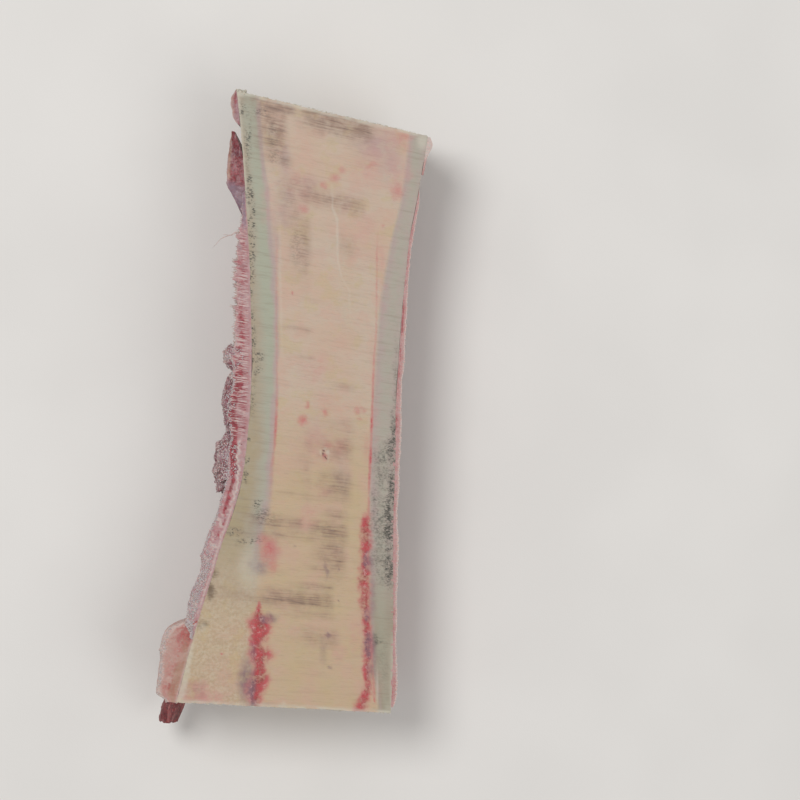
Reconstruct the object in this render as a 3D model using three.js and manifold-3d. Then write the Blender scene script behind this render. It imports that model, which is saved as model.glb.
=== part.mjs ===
// One half of a beef marrow bone, sawn lengthwise, lying on its rounded back with the sawn face up.
// Compact bone wall, a wedge of spongy bone in the wide end, the marrow that fills the shaft, and the
// meat, fat, gristle and membrane left on the outside.
// Millimetres. +X is across the sawn face, +Y runs to the narrow end, +Z is up.
import * as THREE from "three";
import { mergeVertices } from "three/addons/utils/BufferGeometryUtils.js";
import Module from "manifold-3d";

const wasm = await Module();
wasm.setup();

// Driving dimensions
const FACE_HEIGHT = 29; // the sawn face above the table
const WIDE_END_Y = -91; // where each end's cut crosses x = 0 on the sawn face
const NARROW_END_Y = 89.7;
const LENGTH = NARROW_END_Y - WIDE_END_Y;
const WIDE_END_SLOPE = -0.05; // how far each end's cut runs along Y for each mm across
const NARROW_END_SLOPE = -0.236;
const WIDE_END_UNDERCUT = 0.09; // how far the wide end's cut leans in for each mm of depth
const BACK_SQUARENESS = 0.9; // under 1 makes the back fuller than an ellipse
const GAP = 0.3; // clearance between neighbouring solids
const CUTTER_RISE = 2; // how far a cutting body stands above the sawn face
const CUTTER_REACH = 0.02; // and past each end, as a share of the length
const CUTTER_MARGIN = 2; // and past the side that another body bounds
const SCRAP_CLEARANCE = 1.08; // how much larger a scrap is for its neighbour to keep clear of it

// Profiles along the bone: [share of the length from the wide end, mm]
const LEFT_EDGE = through([
  [0, -37.2], [0.12, -31.2], [0.25, -23.9], [0.36, -17.8], [0.47, -15.2],
  [0.6, -14.5], [0.75, -15.3], [0.9, -17.3], [1, -18.9],
]);
const RIGHT_EDGE = through([
  [0, 27.3], [0.3, 27.4], [0.46, 28.2], [0.63, 29.9], [0.8, 32.5], [0.88, 35], [0.94, 36.8], [1, 38.4],
]);
const DEPTH = through([
  [0, 29], [0.07, 31.3], [0.2, 27.6], [0.45, 21.9], [0.65, 22.1], [0.85, 27], [0.94, 30.2], [1, 29.4],
]);
const CAVITY_LEFT = through([
  [0, -14.6], [0.12, -13.6], [0.24, -12.4], [0.34, -9.4], [0.45, -7.8],
  [0.65, -6.9], [0.8, -8.6], [0.9, -11], [1, -12.6],
]);
const CAVITY_RIGHT = through([
  [0, 23.7], [0.1, 21.4], [0.3, 20.8], [0.45, 21.2], [0.6, 22.8],
  [0.7, 24.2], [0.8, 27.2], [0.88, 30.4], [1, 33],
]);
const BACK_WALL = through([[0, 3], [0.15, 4.5], [0.35, 7.6], [0.6, 7.8], [0.8, 6], [1, 4.5]]);
const CORTEX = through([[0, 1.4], [0.1, 1.8], [0.2, 3.4], [0.3, 6], [0.4, 8]]); // over the spongy bone
const SPONGY_END = 0.36; // where the spongy bone runs out, as a share of the length
const SPONGY_OVERLAP = through([[0, 24], [0.2, 13], [0.36, 2]]); // how far its wedge reaches under the marrow
const SPONGY_DEPTH = through([[0, 26.2], [0.15, 22], [0.36, 8]]);
const FRINGE_THICKNESS = through([
  [0.14, 4.9], [0.2, 5], [0.25, 5.3], [0.3, 4.6], [0.38, 5.4], [0.48, 6.1],
  [0.6, 5.4], [0.7, 4.3], [0.76, 3.6], [0.8, 2.1], [0.85, 1],
]);
const FRINGE_LOW_SIDE = through([[0.14, 0.67], [0.3, 0.61], [0.5, 0.57], [0.7, 0.58], [0.84, 0.63]]);
const PAD_THICKNESS = through([[0, 6.2], [0.05, 7.8], [0.095, 9], [0.12, 8.5], [0.138, 5.6]]);
const STUB_THICKNESS = through([[-0.034, 5.6], [0.03, 6.4], [0.1, 2.2]]);
const FLAP_LIFT = through([[0.85, GAP], [0.9, 0.9], [0.945, 2.4]]);
const RIGHT_MEMBRANE_THICKNESS = through([[0, 1.5], [0.25, 1.9], [0.5, 1.8], [0.7, 1.3], [0.85, 0.8]]);

// A smooth curve through [place, value] points, as a function of place. Beyond its ends it runs straight on.
function through(points) {
  const slope = points.map((point, i) => {
    const before = points[Math.max(i - 1, 0)];
    const after = points[Math.min(i + 1, points.length - 1)];
    return (after[1] - before[1]) / (after[0] - before[0]);
  });
  return (at) => {
    const last = points.length - 1;
    if (at <= points[0][0]) return points[0][1] + slope[0] * (at - points[0][0]);
    if (at >= points[last][0]) return points[last][1] + slope[last] * (at - points[last][0]);
    const i = points.findIndex((point) => point[0] > at) - 1;
    const span = points[i + 1][0] - points[i][0];
    const t = (at - points[i][0]) / span;
    const rise = t * t * (3 - 2 * t);
    const leave = t * (1 - t) * (1 - t) * span * slope[i];
    const arrive = t * t * (1 - t) * span * slope[i + 1];
    return points[i][1] * (1 - rise) + points[i + 1][1] * rise + leave - arrive;
  };
}

// Uneven bumps from -1 to 1 over a surface with coordinates along and around the bone.
function bumps(along, around, seed) {
  return (
    0.5 * Math.sin(31 * along + 2.1 * seed) * Math.cos(9 * around + seed) +
    0.3 * Math.sin(57 * along - 1.3 * seed + 4 * around) +
    0.2 * Math.cos(83 * along + 11 * around + seed)
  );
}

// The point at a share of the length, between the two sawn ends.
function placed(share, x, depth) {
  const wide = WIDE_END_Y + WIDE_END_SLOPE * x + WIDE_END_UNDERCUT * depth;
  const narrow = NARROW_END_Y + NARROW_END_SLOPE * x;
  return [x, THREE.MathUtils.lerp(wide, narrow, share), FACE_HEIGHT - depth];
}

// A round-backed section from left to right edge: across runs from -1 to 1 and down from 0 to -1.
function inSection(share, across, down, left, right, depth) {
  const middle = (left + right) / 2;
  const half = (right - left) / 2;
  const below = down < 0 ? depth * Math.pow(-down, BACK_SQUARENESS) : -down * CUTTER_RISE;
  return placed(share, middle + half * across, below);
}

// How much the bone's back swells or hollows, as a factor, at an angle from its right edge.
function swell(share, angle) {
  const wave = 0.03 * Math.sin(2 * angle + 5 * share) + 0.02 * Math.sin(3 * angle - 7 * share);
  return 1 + Math.sin(angle) * wave;
}

// A point on or above the bone's outside: angle 0 is its right edge on the sawn face, PI its left edge.
function onBone(share, angle, lift) {
  const left = LEFT_EDGE(share);
  const right = RIGHT_EDGE(share);
  const half = (right - left) / 2;
  const deep = DEPTH(share);
  const round = swell(share, angle);
  const x = (left + right) / 2 + half * round * Math.cos(angle);
  const depth = deep * round * Math.pow(Math.max(Math.sin(angle), 0), BACK_SQUARENESS);
  const steep = Math.hypot(deep * Math.cos(angle), half * Math.sin(angle));
  const out = (lift * deep * Math.cos(angle)) / steep;
  const downward = (lift * half * Math.sin(angle)) / steep;
  return placed(share, x + out, depth + downward);
}

// Moves every vertex of a closed geometry to place(x, y, z) and makes it a solid.
function shaped(geometry, place) {
  const bare = geometry.clone();
  bare.deleteAttribute("normal");
  bare.deleteAttribute("uv");
  const merged = mergeVertices(bare, 1e-4);
  const position = merged.attributes.position;
  for (let i = 0; i < position.count; i++) {
    position.setXYZ(i, ...place(position.getX(i), position.getY(i), position.getZ(i)));
  }
  const triVerts = new Uint32Array(merged.index.array);
  const made = (faces) =>
    new wasm.Manifold(new wasm.Mesh({ numProp: 3, vertProperties: position.array, triVerts: faces }));
  const solid = made(triVerts);
  return solid.volume() > 0 ? solid : made(triVerts.reverse());
}

// A half-disc drawn along the bone, from share start to end, with place(share, across, down) for its points.
function halfPrism({ start = 0, end = 1, steps, arc, raised = false }, place) {
  const outline = new THREE.Shape();
  if (raised) outline.moveTo(-1, 1);
  outline.absarc(0, 0, 1, Math.PI, 2 * Math.PI, false);
  if (raised) outline.lineTo(1, 1);
  const extrusion = { depth: 1, steps, curveSegments: arc / 2, bevelEnabled: false };
  const prism = new THREE.ExtrudeGeometry(outline, extrusion);
  return shaped(prism, (x, y, z) => place(end - z * (end - start), x, y));
}

// A patch of tissue on the bone's outside: its inner and outer lifts are functions of share and angle.
// Angles are shares of a half turn, the low one perhaps a profile along the bone. Wander is how far the
// patch's two long sides stray from them.
function patch({ shares, angles, wander = [0, 0], along, around }, inner, outer) {
  const slab = new THREE.BoxGeometry(1, 1, 1, around, along, 1);
  const lowSide = typeof angles[0] === "function" ? angles[0] : () => angles[0];
  return shaped(slab, (x, y, z) => {
    const share = THREE.MathUtils.lerp(shares[0], shares[1], y + 0.5);
    const low = lowSide(share) + wander[0] * bumps(share, 0, 11);
    const high = angles[1] + wander[1] * bumps(share, 1, 12);
    const angle = Math.PI * THREE.MathUtils.lerp(low, high, x + 0.5);
    const lift = z < 0 ? inner(share, angle) : outer(share, angle);
    return onBone(share, angle, lift);
  });
}

// A rounded lump on the bone's outside, with its radii as share of length, angle and mm of lift.
function lump({ share, angle, lift, radii, detail, rough = 0.12, seed = 1 }) {
  const ball = new THREE.IcosahedronGeometry(1, detail);
  return shaped(ball, (x, y, z) => {
    const uneven = 1 + rough * bumps(0.3 * x + 0.1 * z, 0.7 * y, seed);
    return onBone(
      share + radii[0] * x * uneven,
      Math.PI * Math.min(angle + radii[1] * y * uneven, 1),
      lift + radii[2] * z * uneven,
    );
  });
}

// 1 inside a patch, falling to 0 over a margin at each end of the range from low to high.
function fade(at, low, high, margin) {
  const inward = Math.min(at - low, high - at) / margin;
  return THREE.MathUtils.smoothstep(inward, 0, 1);
}

// Bone and marrow
const BONE_STEPS = 32;
const BONE_ARC = 24;
const MARROW_ARC = 18;

function boneOutside(grown = 0) {
  return halfPrism({ steps: BONE_STEPS, arc: BONE_ARC }, (share, across, down) => {
    const [x, y, z] = onBone(share, Math.atan2(-down, across), grown);
    return [x, y, Math.max(z, 0)];
  });
}

function cavity(shrink, cutter) {
  const reach = cutter ? CUTTER_REACH : 0;
  const size = { start: -reach, end: 1 + reach, steps: BONE_STEPS, arc: MARROW_ARC, raised: cutter };
  return halfPrism(size, (share, across, down) => {
    const deep = DEPTH(share) - BACK_WALL(share) - shrink;
    return inSection(share, across, down, CAVITY_LEFT(share) + shrink, CAVITY_RIGHT(share) - shrink, deep);
  });
}

function spongyWedge(grown, cutter) {
  const reach = cutter ? CUTTER_REACH : 0;
  const size = { start: -reach, end: SPONGY_END + grown / LENGTH, steps: 14, raised: cutter };
  const inside = halfPrism({ ...size, arc: BONE_ARC }, (share, across, down) => {
    const raised = down > 0.5;
    const angle = raised ? Math.PI * (across < 0) : Math.atan2(-down, across);
    const skin = CORTEX(share) - grown;
    const [x, y, z] = onBone(share, angle, -skin);
    return [x, y, Math.max(z, skin) + raised * CUTTER_RISE];
  });
  const wedge = halfPrism({ ...size, arc: 16 }, (share, across, down) => {
    const left = LEFT_EDGE(share) - CUTTER_MARGIN;
    const right = CAVITY_LEFT(share) + SPONGY_OVERLAP(share) + grown;
    return inSection(share, across, down, left, right, SPONGY_DEPTH(share) + grown);
  });
  return inside.intersect(wedge);
}

const compactBone = boneOutside().subtract(cavity(0, true)).subtract(spongyWedge(GAP, true));
const marrow = cavity(GAP, false);
const spongyBone = spongyWedge(0, false).subtract(cavity(0, true));

// Meat, fat and gristle on the left side, with what the fat scraps give way to
const fringeLift = (share, angle) => {
  const low = THREE.MathUtils.smoothstep(angle, 0.58 * Math.PI, 0.95 * Math.PI);
  const body = FRINGE_THICKNESS(share) * (0.3 + 0.7 * low);
  return GAP + body * (1 + 0.16 * bumps(share, angle, 1));
};
const fringeSize = {
  shares: [0.142, 0.84], angles: [FRINGE_LOW_SIDE, 1], wander: [0.03, 0], along: 44, around: 7,
};
const fringe = patch(fringeSize, () => GAP, fringeLift);
const overFringe = patch(
  { ...fringeSize, shares: [0.132, 0.85], angles: [(share) => FRINGE_LOW_SIDE(share) - 0.015, 1] },
  () => -1,
  (share, angle) => fringeLift(share, angle) + GAP,
);

const FAT_SCRAPS = [
  { share: 0.565, angle: 0.965, lift: 5.2, radii: [0.021, 0.05, 3.6], detail: 5, seed: 2 },
  { share: 0.49, angle: 0.935, lift: 5.6, radii: [0.05, 0.07, 2.8], detail: 6, seed: 3 },
  { share: 0.395, angle: 0.935, lift: 4.6, radii: [0.055, 0.08, 5], detail: 7, seed: 4 },
];
// A scrap gives way to the meat it lies on and to the scrap before it.
function fatScraps() {
  let taken = overFringe;
  return FAT_SCRAPS.map((size) => {
    const scrap = lump(size).subtract(taken);
    const radii = size.radii.map((radius) => radius * SCRAP_CLEARANCE);
    taken = taken.add(lump({ ...size, radii }));
    return scrap;
  });
}

const padLift = (share, angle) => {
  const round = fade(angle, 0.82 * Math.PI, 1.2 * Math.PI, 0.3);
  return GAP + PAD_THICKNESS(share) * (0.5 + 0.5 * round) * (1 + 0.04 * bumps(share, angle, 9));
};
const padSize = { shares: [0, 0.138], angles: [0.865, 1], along: 10, around: 6 };
const ligamentPad = patch(padSize, () => GAP, padLift);

// The stub hangs a little clear of the bone where it runs past the wide end.
const stubHang = through([[-0.036, 2.6], [0.02, GAP], [0.1, GAP]]);
const muscleStub = patch(
  { shares: [-0.034, 0.1], angles: [0.775, 0.858], along: 10, around: 5 },
  (share) => Math.max(stubHang(share), GAP),
  (share, angle) => {
    const round = fade(angle, 0.755 * Math.PI, 0.878 * Math.PI, 0.14);
    return Math.max(stubHang(share), GAP) + 1 + (STUB_THICKNESS(share) - 1) * (0.4 + 0.6 * round);
  },
);

const sinewFlap = patch(
  { shares: [0.85, 0.945], angles: [0.86, 0.985], along: 10, around: 4 },
  (share) => FLAP_LIFT(share),
  (share, angle) => {
    const round = fade(share, 0.84, 0.955, 0.045) * fade(angle, 2.6, 3.14, 0.3);
    return FLAP_LIFT(share) + 1.1 + 1.7 * round;
  },
);
const cornerMembrane = patch(
  { shares: [0.958, 1], angles: [0.87, 1], along: 4, around: 3 },
  () => GAP,
  (share, angle) => GAP + 0.6 + 0.5 * fade(angle, 2.6, 3.7, 0.4),
);

// The membrane and gristle on the right side, and the strips of meat and sinew on the back
const rightMembrane = patch(
  { shares: [0.004, 0.86], angles: [0, 0.3], wander: [0, 0.02], along: 36, around: 6 },
  () => GAP,
  (share, angle) => {
    const body = RIGHT_MEMBRANE_THICKNESS(share) * (1 - 0.22 * angle);
    return GAP + body * (1 + 0.2 * bumps(share, angle, 6));
  },
);
const cornerGristle = patch(
  { shares: [0.935, 0.995], angles: [0, 0.1], along: 5, around: 3 },
  () => GAP,
  (share, angle) => GAP + 0.5 + 1.2 * fade(share, 0.93, 1, 0.03) * (1 - 1.5 * angle),
);
function backStrip({ shares, angles, wander, along, around, thickness, seed }) {
  const middle = (share) => fade(share, shares[0], shares[1], 0.08);
  const centre = Math.PI * (0.5 * (angles[0] + angles[1]));
  const reach = Math.PI * (0.5 * (angles[1] - angles[0]) + wander[1]);
  return patch({ shares, angles, wander, along, around }, () => GAP, (share, angle) => {
    const crown = 1 - Math.min(Math.abs(angle - centre) / reach, 1) ** 2;
    return GAP + 0.5 + thickness * (1 + 0.35 * bumps(share, angle, seed)) * middle(share) * crown;
  });
}
const backMeat = backStrip({
  shares: [0.2, 0.74], angles: [0.43, 0.535], wander: [0.015, 0.012],
  along: 24, around: 4, thickness: 2.1, seed: 7,
});
const backSinew = backStrip({
  shares: [0.27, 0.84], angles: [0.335, 0.4], wander: [0.008, 0.012],
  along: 22, around: 3, thickness: 1.2, seed: 8,
});

// Colours and finish, from the raw bone
const finish = (color, roughness) => new THREE.MeshStandardMaterial({ color, roughness, metalness: 0 });
const COMPACT = finish(0xb4aa98, 0.5);
const SPONGY = finish(0xc4ad90, 0.6);
const MARROW = finish(0xd2b79c, 0.35);
const MEAT = finish(0xa3666a, 0.45);
const FAT = finish(0xbfa5a2, 0.55);
const PAD = finish(0xbf8f88, 0.5);
const MUSCLE = finish(0x7d3a3a, 0.5);
const SINEW = finish(0xb08a8c, 0.4);

function node(name, solid, material) {
  const { numProp, vertProperties, triVerts } = solid.getMesh();
  const buffer = new THREE.InterleavedBuffer(vertProperties, numProp);
  const geometry = new THREE.BufferGeometry();
  geometry.setAttribute("position", new THREE.InterleavedBufferAttribute(buffer, 3, 0));
  geometry.setIndex(new THREE.BufferAttribute(triVerts, 1));
  const mesh = new THREE.Mesh(geometry, material);
  mesh.name = name;
  return mesh;
}

const half = new THREE.Group();
half.add(
  node("compact_bone", compactBone, COMPACT),
  node("spongy_bone", spongyBone, SPONGY),
  node("marrow", marrow, MARROW),
  node("meat_fringe", fringe, MEAT),
  ...fatScraps().map((scrap, i) => node(`fat_scrap_${i + 1}`, scrap, FAT)),
  node("ligament_pad", ligamentPad, PAD),
  node("muscle_stub", muscleStub, MUSCLE),
  node("sinew_flap", sinewFlap, SINEW),
  node("corner_membrane", cornerMembrane, SINEW),
  node("right_membrane", rightMembrane, SINEW),
  node("corner_gristle", cornerGristle, FAT),
  node("back_meat", backMeat, MUSCLE),
  node("back_sinew", backSinew, SINEW),
);

// The origin is under the middle of the piece, on the table.
const box = new THREE.Box3().setFromObject(half);
const centre = box.getCenter(new THREE.Vector3());
half.position.set(-centre.x, -centre.y, -box.min.z);

export default half;
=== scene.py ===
# The looks of a sawn half of a beef marrow bone: bone wall, spongy bone, marrow, and the meat, fat and
# membrane on its outside, on a plain pale floor.
# Lengths are millimetres in the bone's own frame until to_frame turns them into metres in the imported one.
import itertools
import math
from types import SimpleNamespace

import bpy
import numpy as np
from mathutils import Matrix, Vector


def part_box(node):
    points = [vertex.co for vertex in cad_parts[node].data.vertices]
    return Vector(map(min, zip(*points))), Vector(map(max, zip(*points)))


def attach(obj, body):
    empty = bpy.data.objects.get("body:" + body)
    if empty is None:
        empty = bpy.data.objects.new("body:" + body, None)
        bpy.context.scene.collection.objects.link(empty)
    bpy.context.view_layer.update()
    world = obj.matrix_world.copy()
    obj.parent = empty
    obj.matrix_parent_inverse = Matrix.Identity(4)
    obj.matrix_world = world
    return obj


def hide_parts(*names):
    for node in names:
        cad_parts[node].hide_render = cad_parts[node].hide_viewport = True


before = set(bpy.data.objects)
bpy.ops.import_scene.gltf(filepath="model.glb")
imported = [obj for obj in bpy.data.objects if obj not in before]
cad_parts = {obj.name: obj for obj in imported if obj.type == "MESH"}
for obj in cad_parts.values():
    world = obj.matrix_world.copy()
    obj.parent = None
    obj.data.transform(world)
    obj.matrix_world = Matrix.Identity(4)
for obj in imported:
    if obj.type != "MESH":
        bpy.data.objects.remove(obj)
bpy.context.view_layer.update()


# Curves and noise
def through(*points):
    """A smooth curve through (place, value) points. Beyond its ends it runs straight on."""
    at, value = np.array(points, float).T
    last = len(at) - 1
    before = np.maximum(np.arange(last + 1) - 1, 0)
    after = np.minimum(np.arange(last + 1) + 1, last)
    slope = (value[after] - value[before]) / (at[after] - at[before])

    def curve(where):
        where = np.asarray(where, float)
        i = np.clip(np.searchsorted(at, where, side="right") - 1, 0, last - 1)
        span = at[i + 1] - at[i]
        t = np.clip((where - at[i]) / span, 0, 1)
        rise = t * t * (3 - 2 * t)
        inside = value[i] * (1 - rise) + value[i + 1] * rise
        inside = inside + t * (1 - t) ** 2 * span * slope[i] - t * t * (1 - t) * span * slope[i + 1]
        beyond = np.minimum(where - at[0], 0) * slope[0] + np.maximum(where - at[-1], 0) * slope[-1]
        return inside + beyond

    return curve


def smooth(value, low=0.0, high=1.0):
    """0 below low, 1 above high, and a smooth rise between them."""
    t = np.clip((value - low) / (high - low), 0, 1)
    return t * t * (3 - 2 * t)


def fade(at, low, high, margin):
    """1 inside a range, falling to 0 over a margin at each end."""
    return smooth(np.minimum(at - low, high - at) / margin)


def stacked(*parts):
    """Points from their coordinates, each an array or a number."""
    return np.stack(np.broadcast_arrays(*parts), -1)


def grain(points, size, seed):
    """Smooth noise from -1 to 1, with features of that size: one length, or one for each axis. The large
    numbers only mix the bits of a cell's place, so that its value looks random."""
    p = np.asarray(points, float) / size + 17.31 * seed
    cell = np.floor(p).astype(np.int64)
    f = smooth(p - cell)
    total = 0.0
    for corner in itertools.product((0, 1), repeat=3):
        c = cell + np.array(corner)
        key = c[..., 0] * 73856093 ^ c[..., 1] * 19349663 ^ c[..., 2] * 83492791 ^ seed * 40503
        key = ((key ^ (key >> 15)) * 2246822519) & 0xFFFFFFFF
        key = ((key ^ (key >> 13)) * 3266489917) & 0xFFFFFFFF
        value = ((key ^ (key >> 16)) & 0xFFFF) / 32767.5 - 1
        weight = np.prod(np.where(corner, f, 1 - f), axis=-1)
        total = total + weight * value
    return total


def rough(points, size, seed, octaves=3):
    """Noise with finer and finer octaves, about -1 to 1."""
    scales = [0.5**k for k in range(octaves)]
    size = np.asarray(size, float)
    layers = [s * grain(points, size * s, seed + 7 * k) for k, s in enumerate(scales)]
    return sum(layers) / sum(scales) * 1.4


def line_noise(along, size, seed):
    """Noise from -1 to 1 along one direction."""
    return grain(stacked(along, 0.0, 0.0), size, seed)


def beads(along, pitch, seed):
    """Rounded beads in a row, 0 to 1, of uneven size."""
    return 1 - np.abs(line_noise(along, pitch, seed)) ** 0.7


# The bone's form, as the CAD source has it: shares run from the wide end to the narrow end
FACE_HEIGHT = 29.0
WIDE_END_Y, NARROW_END_Y = -91.0, 89.7
LENGTH = NARROW_END_Y - WIDE_END_Y
WIDE_END_SLOPE, NARROW_END_SLOPE = -0.05, -0.236
WIDE_END_UNDERCUT = 0.09
BACK_SQUARENESS = 0.9
LEFT_EDGE = through(
    (0, -37.2), (0.12, -31.2), (0.25, -23.9), (0.36, -17.8), (0.47, -15.2),
    (0.6, -14.5), (0.75, -15.3), (0.9, -17.3), (1, -18.9),
)
RIGHT_EDGE = through(
    (0, 27.3), (0.3, 27.4), (0.46, 28.2), (0.63, 29.9), (0.8, 32.5), (0.88, 35), (0.94, 36.8), (1, 38.4)
)
DEPTH = through(
    (0, 29), (0.07, 31.3), (0.2, 27.6), (0.45, 21.9), (0.65, 22.1), (0.85, 27), (0.94, 30.2), (1, 29.4)
)
CAVITY_LEFT = through(
    (0, -14.6), (0.12, -13.6), (0.24, -12.4), (0.34, -9.4), (0.45, -7.8),
    (0.65, -6.9), (0.8, -8.6), (0.9, -11), (1, -12.6),
)
CAVITY_RIGHT = through(
    (0, 23.7), (0.1, 21.4), (0.3, 20.8), (0.45, 21.2), (0.6, 22.8),
    (0.7, 24.2), (0.8, 27.2), (0.88, 30.4), (1, 33),
)
BACK_WALL = through((0, 3), (0.15, 4.5), (0.35, 7.6), (0.6, 7.8), (0.8, 6), (1, 4.5))
CORTEX = through((0, 1.4), (0.1, 1.8), (0.2, 3.4), (0.3, 6), (0.4, 8))
SPONGY_END = 0.36
SPONGY_OVERLAP = through((0, 24), (0.2, 13), (0.36, 2))
SPONGY_DEPTH = through((0, 26.2), (0.15, 22), (0.36, 8))
EDGE_MARGIN = 2.0  # how far the spongy bone's wedge would reach past the left edge
# How far right of the marrow's left edge a section's hub lies, from which its reaches are measured
HUB = through((0, 10.8), (0.2, 5.9), (0.36, 1.2), (0.5, 12), (1, 20))

_, bone_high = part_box("compact_bone")
SHIFT = np.array([
    bone_high.x * 1000 - RIGHT_EDGE(1),
    bone_high.y * 1000 - (NARROW_END_Y + NARROW_END_SLOPE * LEFT_EDGE(1)),
    0.0,
])


def to_frame(points):
    """Millimetres in the bone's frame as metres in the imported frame."""
    return (np.asarray(points, float) + SHIFT) / 1000


def placed(share, x, depth):
    """The points at a share of the length, a place across and a depth below the sawn face."""
    wide = WIDE_END_Y + WIDE_END_SLOPE * x + WIDE_END_UNDERCUT * depth
    narrow = NARROW_END_Y + NARROW_END_SLOPE * x
    return stacked(x, wide + (narrow - wide) * share, FACE_HEIGHT - depth)


def on_bone(share, angle, lift):
    """Across and depth of a point above the bone's outside. Angle 0 is its right edge, pi its left one."""
    left, right, deep = LEFT_EDGE(share), RIGHT_EDGE(share), DEPTH(share)
    half = (right - left) / 2
    swell = 1 + np.sin(angle) * (
        0.03 * np.sin(2 * angle + 5 * share) + 0.02 * np.sin(3 * angle - 7 * share)
    )
    x = (left + right) / 2 + half * swell * np.cos(angle)
    depth = deep * swell * np.maximum(np.sin(angle), 0) ** BACK_SQUARENESS
    steep = np.hypot(deep * np.cos(angle), half * np.sin(angle))
    return x + lift * deep * np.cos(angle) / steep, depth + lift * half * np.sin(angle) / steep


def bumps(along, around, seed):
    """The CAD's uneven bumps from -1 to 1, so that a piece swells where its solid does."""
    return (
        0.5 * np.sin(31 * along + 2.1 * seed) * np.cos(9 * around + seed)
        + 0.3 * np.sin(57 * along - 1.3 * seed + 4 * around)
        + 0.2 * np.cos(83 * along + 11 * around + seed)
    )


# Sections of the bone at one share of its length
ARC = np.linspace(0, np.pi, 241)


def resampled(x, depth, count):
    """A curve's points again, evenly spaced along it."""
    run = np.r_[0, np.cumsum(np.hypot(np.diff(x), np.diff(depth)))]
    even = np.linspace(0, run[-1], count)
    return np.interp(even, run, x), np.interp(even, run, depth)


def reach(hub, x, depth, turn):
    """How far a curve is from a hub on the sawn face, in the directions of turn."""
    return np.interp(turn, np.arctan2(depth, x - hub), np.hypot(x - hub, depth))


def section(share, turn=ARC):
    """Hub, and the reach of cavity and spongy bone round it, at one share."""
    left, right = CAVITY_LEFT(share), CAVITY_RIGHT(share)
    hub = left + HUB(share)
    below = np.sin(ARC) ** BACK_SQUARENESS
    across = np.cos(ARC)
    deep = (DEPTH(share) - BACK_WALL(share)) * below
    cavity = reach(hub, (left + right) / 2 + (right - left) / 2 * across, deep, turn)
    if share >= SPONGY_END:
        return hub, cavity, cavity
    skin = CORTEX(share)
    x, depth = on_bone(share, ARC, -skin)
    inset = reach(hub, x, np.clip(depth, 0, FACE_HEIGHT - skin), turn)
    low, high = LEFT_EDGE(share) - EDGE_MARGIN, left + SPONGY_OVERLAP(share)
    wedge = reach(hub, (low + high) / 2 + (high - low) / 2 * across, SPONGY_DEPTH(share) * below, turn)
    spongy = np.minimum(inset, wedge)
    whole = 1 - smooth(share, 0.3, SPONGY_END)
    return hub, cavity, cavity + np.maximum(spongy - cavity, 0) * whole


# What shows on the sawn face: places are (across, along) in mm
def spots(x, y, table, soft=(0.55, 1.25)):
    """The strongest of soft oval spots: (across, along, half width, half length, strength)."""
    found = np.zeros(np.broadcast(x, y).shape)
    for cx, cy, rx, ry, strength in table:
        away = np.hypot((x - cx) / rx, (y - cy) / ry)
        found = np.maximum(found, strength * (1 - smooth(away, *soft)))
    return found


def trace(x, y, points, soft=(0.5, 1.3)):
    """A soft line through (across, along, half width, strength) points."""
    found = np.zeros(np.broadcast(x, y).shape)
    for a, b in zip(points, points[1:]):
        run = np.array([b[0] - a[0], b[1] - a[1]])
        t = np.clip(((x - a[0]) * run[0] + (y - a[1]) * run[1]) / (run @ run), 0, 1)
        away = np.hypot(x - a[0] - t * run[0], y - a[1] - t * run[1])
        width = a[2] + (b[2] - a[2]) * t
        strength = a[3] + (b[3] - a[3]) * t
        found = np.maximum(found, strength * (1 - smooth(away / width, *soft)))
    return found


# Saw smears: (across, along, half width, half length, strength)
SMEARS = (
    (11.1, 84.6, 11.1, 3.3, 0.9), (-8.8, 82.8, 5, 8.7, 0.8), (-6.5, 73.5, 4.6, 1.2, 0.7),
    (5.4, 82.3, 2.7, 1.3, 0.5),
    (-0.6, 64.8, 5.7, 2.7, 0.55), (8.1, 61.6, 11.4, 2.2, 0.55), (0.3, 48.3, 3, 10.2, 0.6),
    (13.8, 47.5, 2.7, 2.9, 0.4), (-0.6, 22.8, 4.5, 0.6, 0.35), (1.5, 14.4, 3.3, 0.6, 0.3),
    (13.5, 5.4, 3, 0.6, 0.5),
    (12.9, -6.8, 3.6, 2.2, 0.4), (12.6, -13, 3.3, 3.1, 0.6), (1.6, -18.4, 2.2, 9.4, 0.35),
    (10.8, -24.4, 4.8, 3.8, 0.75), (10.5, -32.9, 3.9, 1.6, 0.5), (8.5, -37.6, 5.8, 2.2, 0.85),
    (-7.9, -34.9, 9.2, 1.6, 0.65), (-3.6, -39.4, 18, 0.8, 0.4), (-3.9, -26.4, 2.7, 0.3, 0.4),
    (9.3, -45.4, 4.5, 5.2, 0.75), (9.4, -47.2, 4.3, 0.8, 0.8), (7.9, -49.4, 5.8, 0.4, 0.5),
    (4, -54.4, 6.5, 0.8, 0.5), (-1.8, -58.2, 11.7, 2.4, 0.75), (-19.5, -57.1, 6, 1.9, 0.3),
    (2.2, -62.8, 8.2, 1.1, 0.3), (5.4, -69.9, 6.6, 2.4, 0.45), (9, -13.5, 4, 3, 0.5),
    (2.5, -12, 2.5, 3, 0.25),
    (-9, 90, 8, 1.4, 0.85), (-3, 60, 3.5, 8, 0.45), (-7, -37.5, 9, 1, 0.35), (-32, -86, 4, 3, 0.35),
)
RIGHT_VEIN = (
    (23.4, 52, 0.3, 0.2), (23.1, 46.5, 0.32, 0.35), (22.9, 22.5, 0.32, 0.4), (22.2, 14.4, 0.32, 0.5),
    (21.6, -3, 0.38, 0.75), (21.1, -16, 0.42, 1), (20.8, -22, 0.4, 0.95), (20.7, -27.6, 0.35, 0.5),
    (20.5, -33.5, 0.5, 0.6),
)
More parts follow.
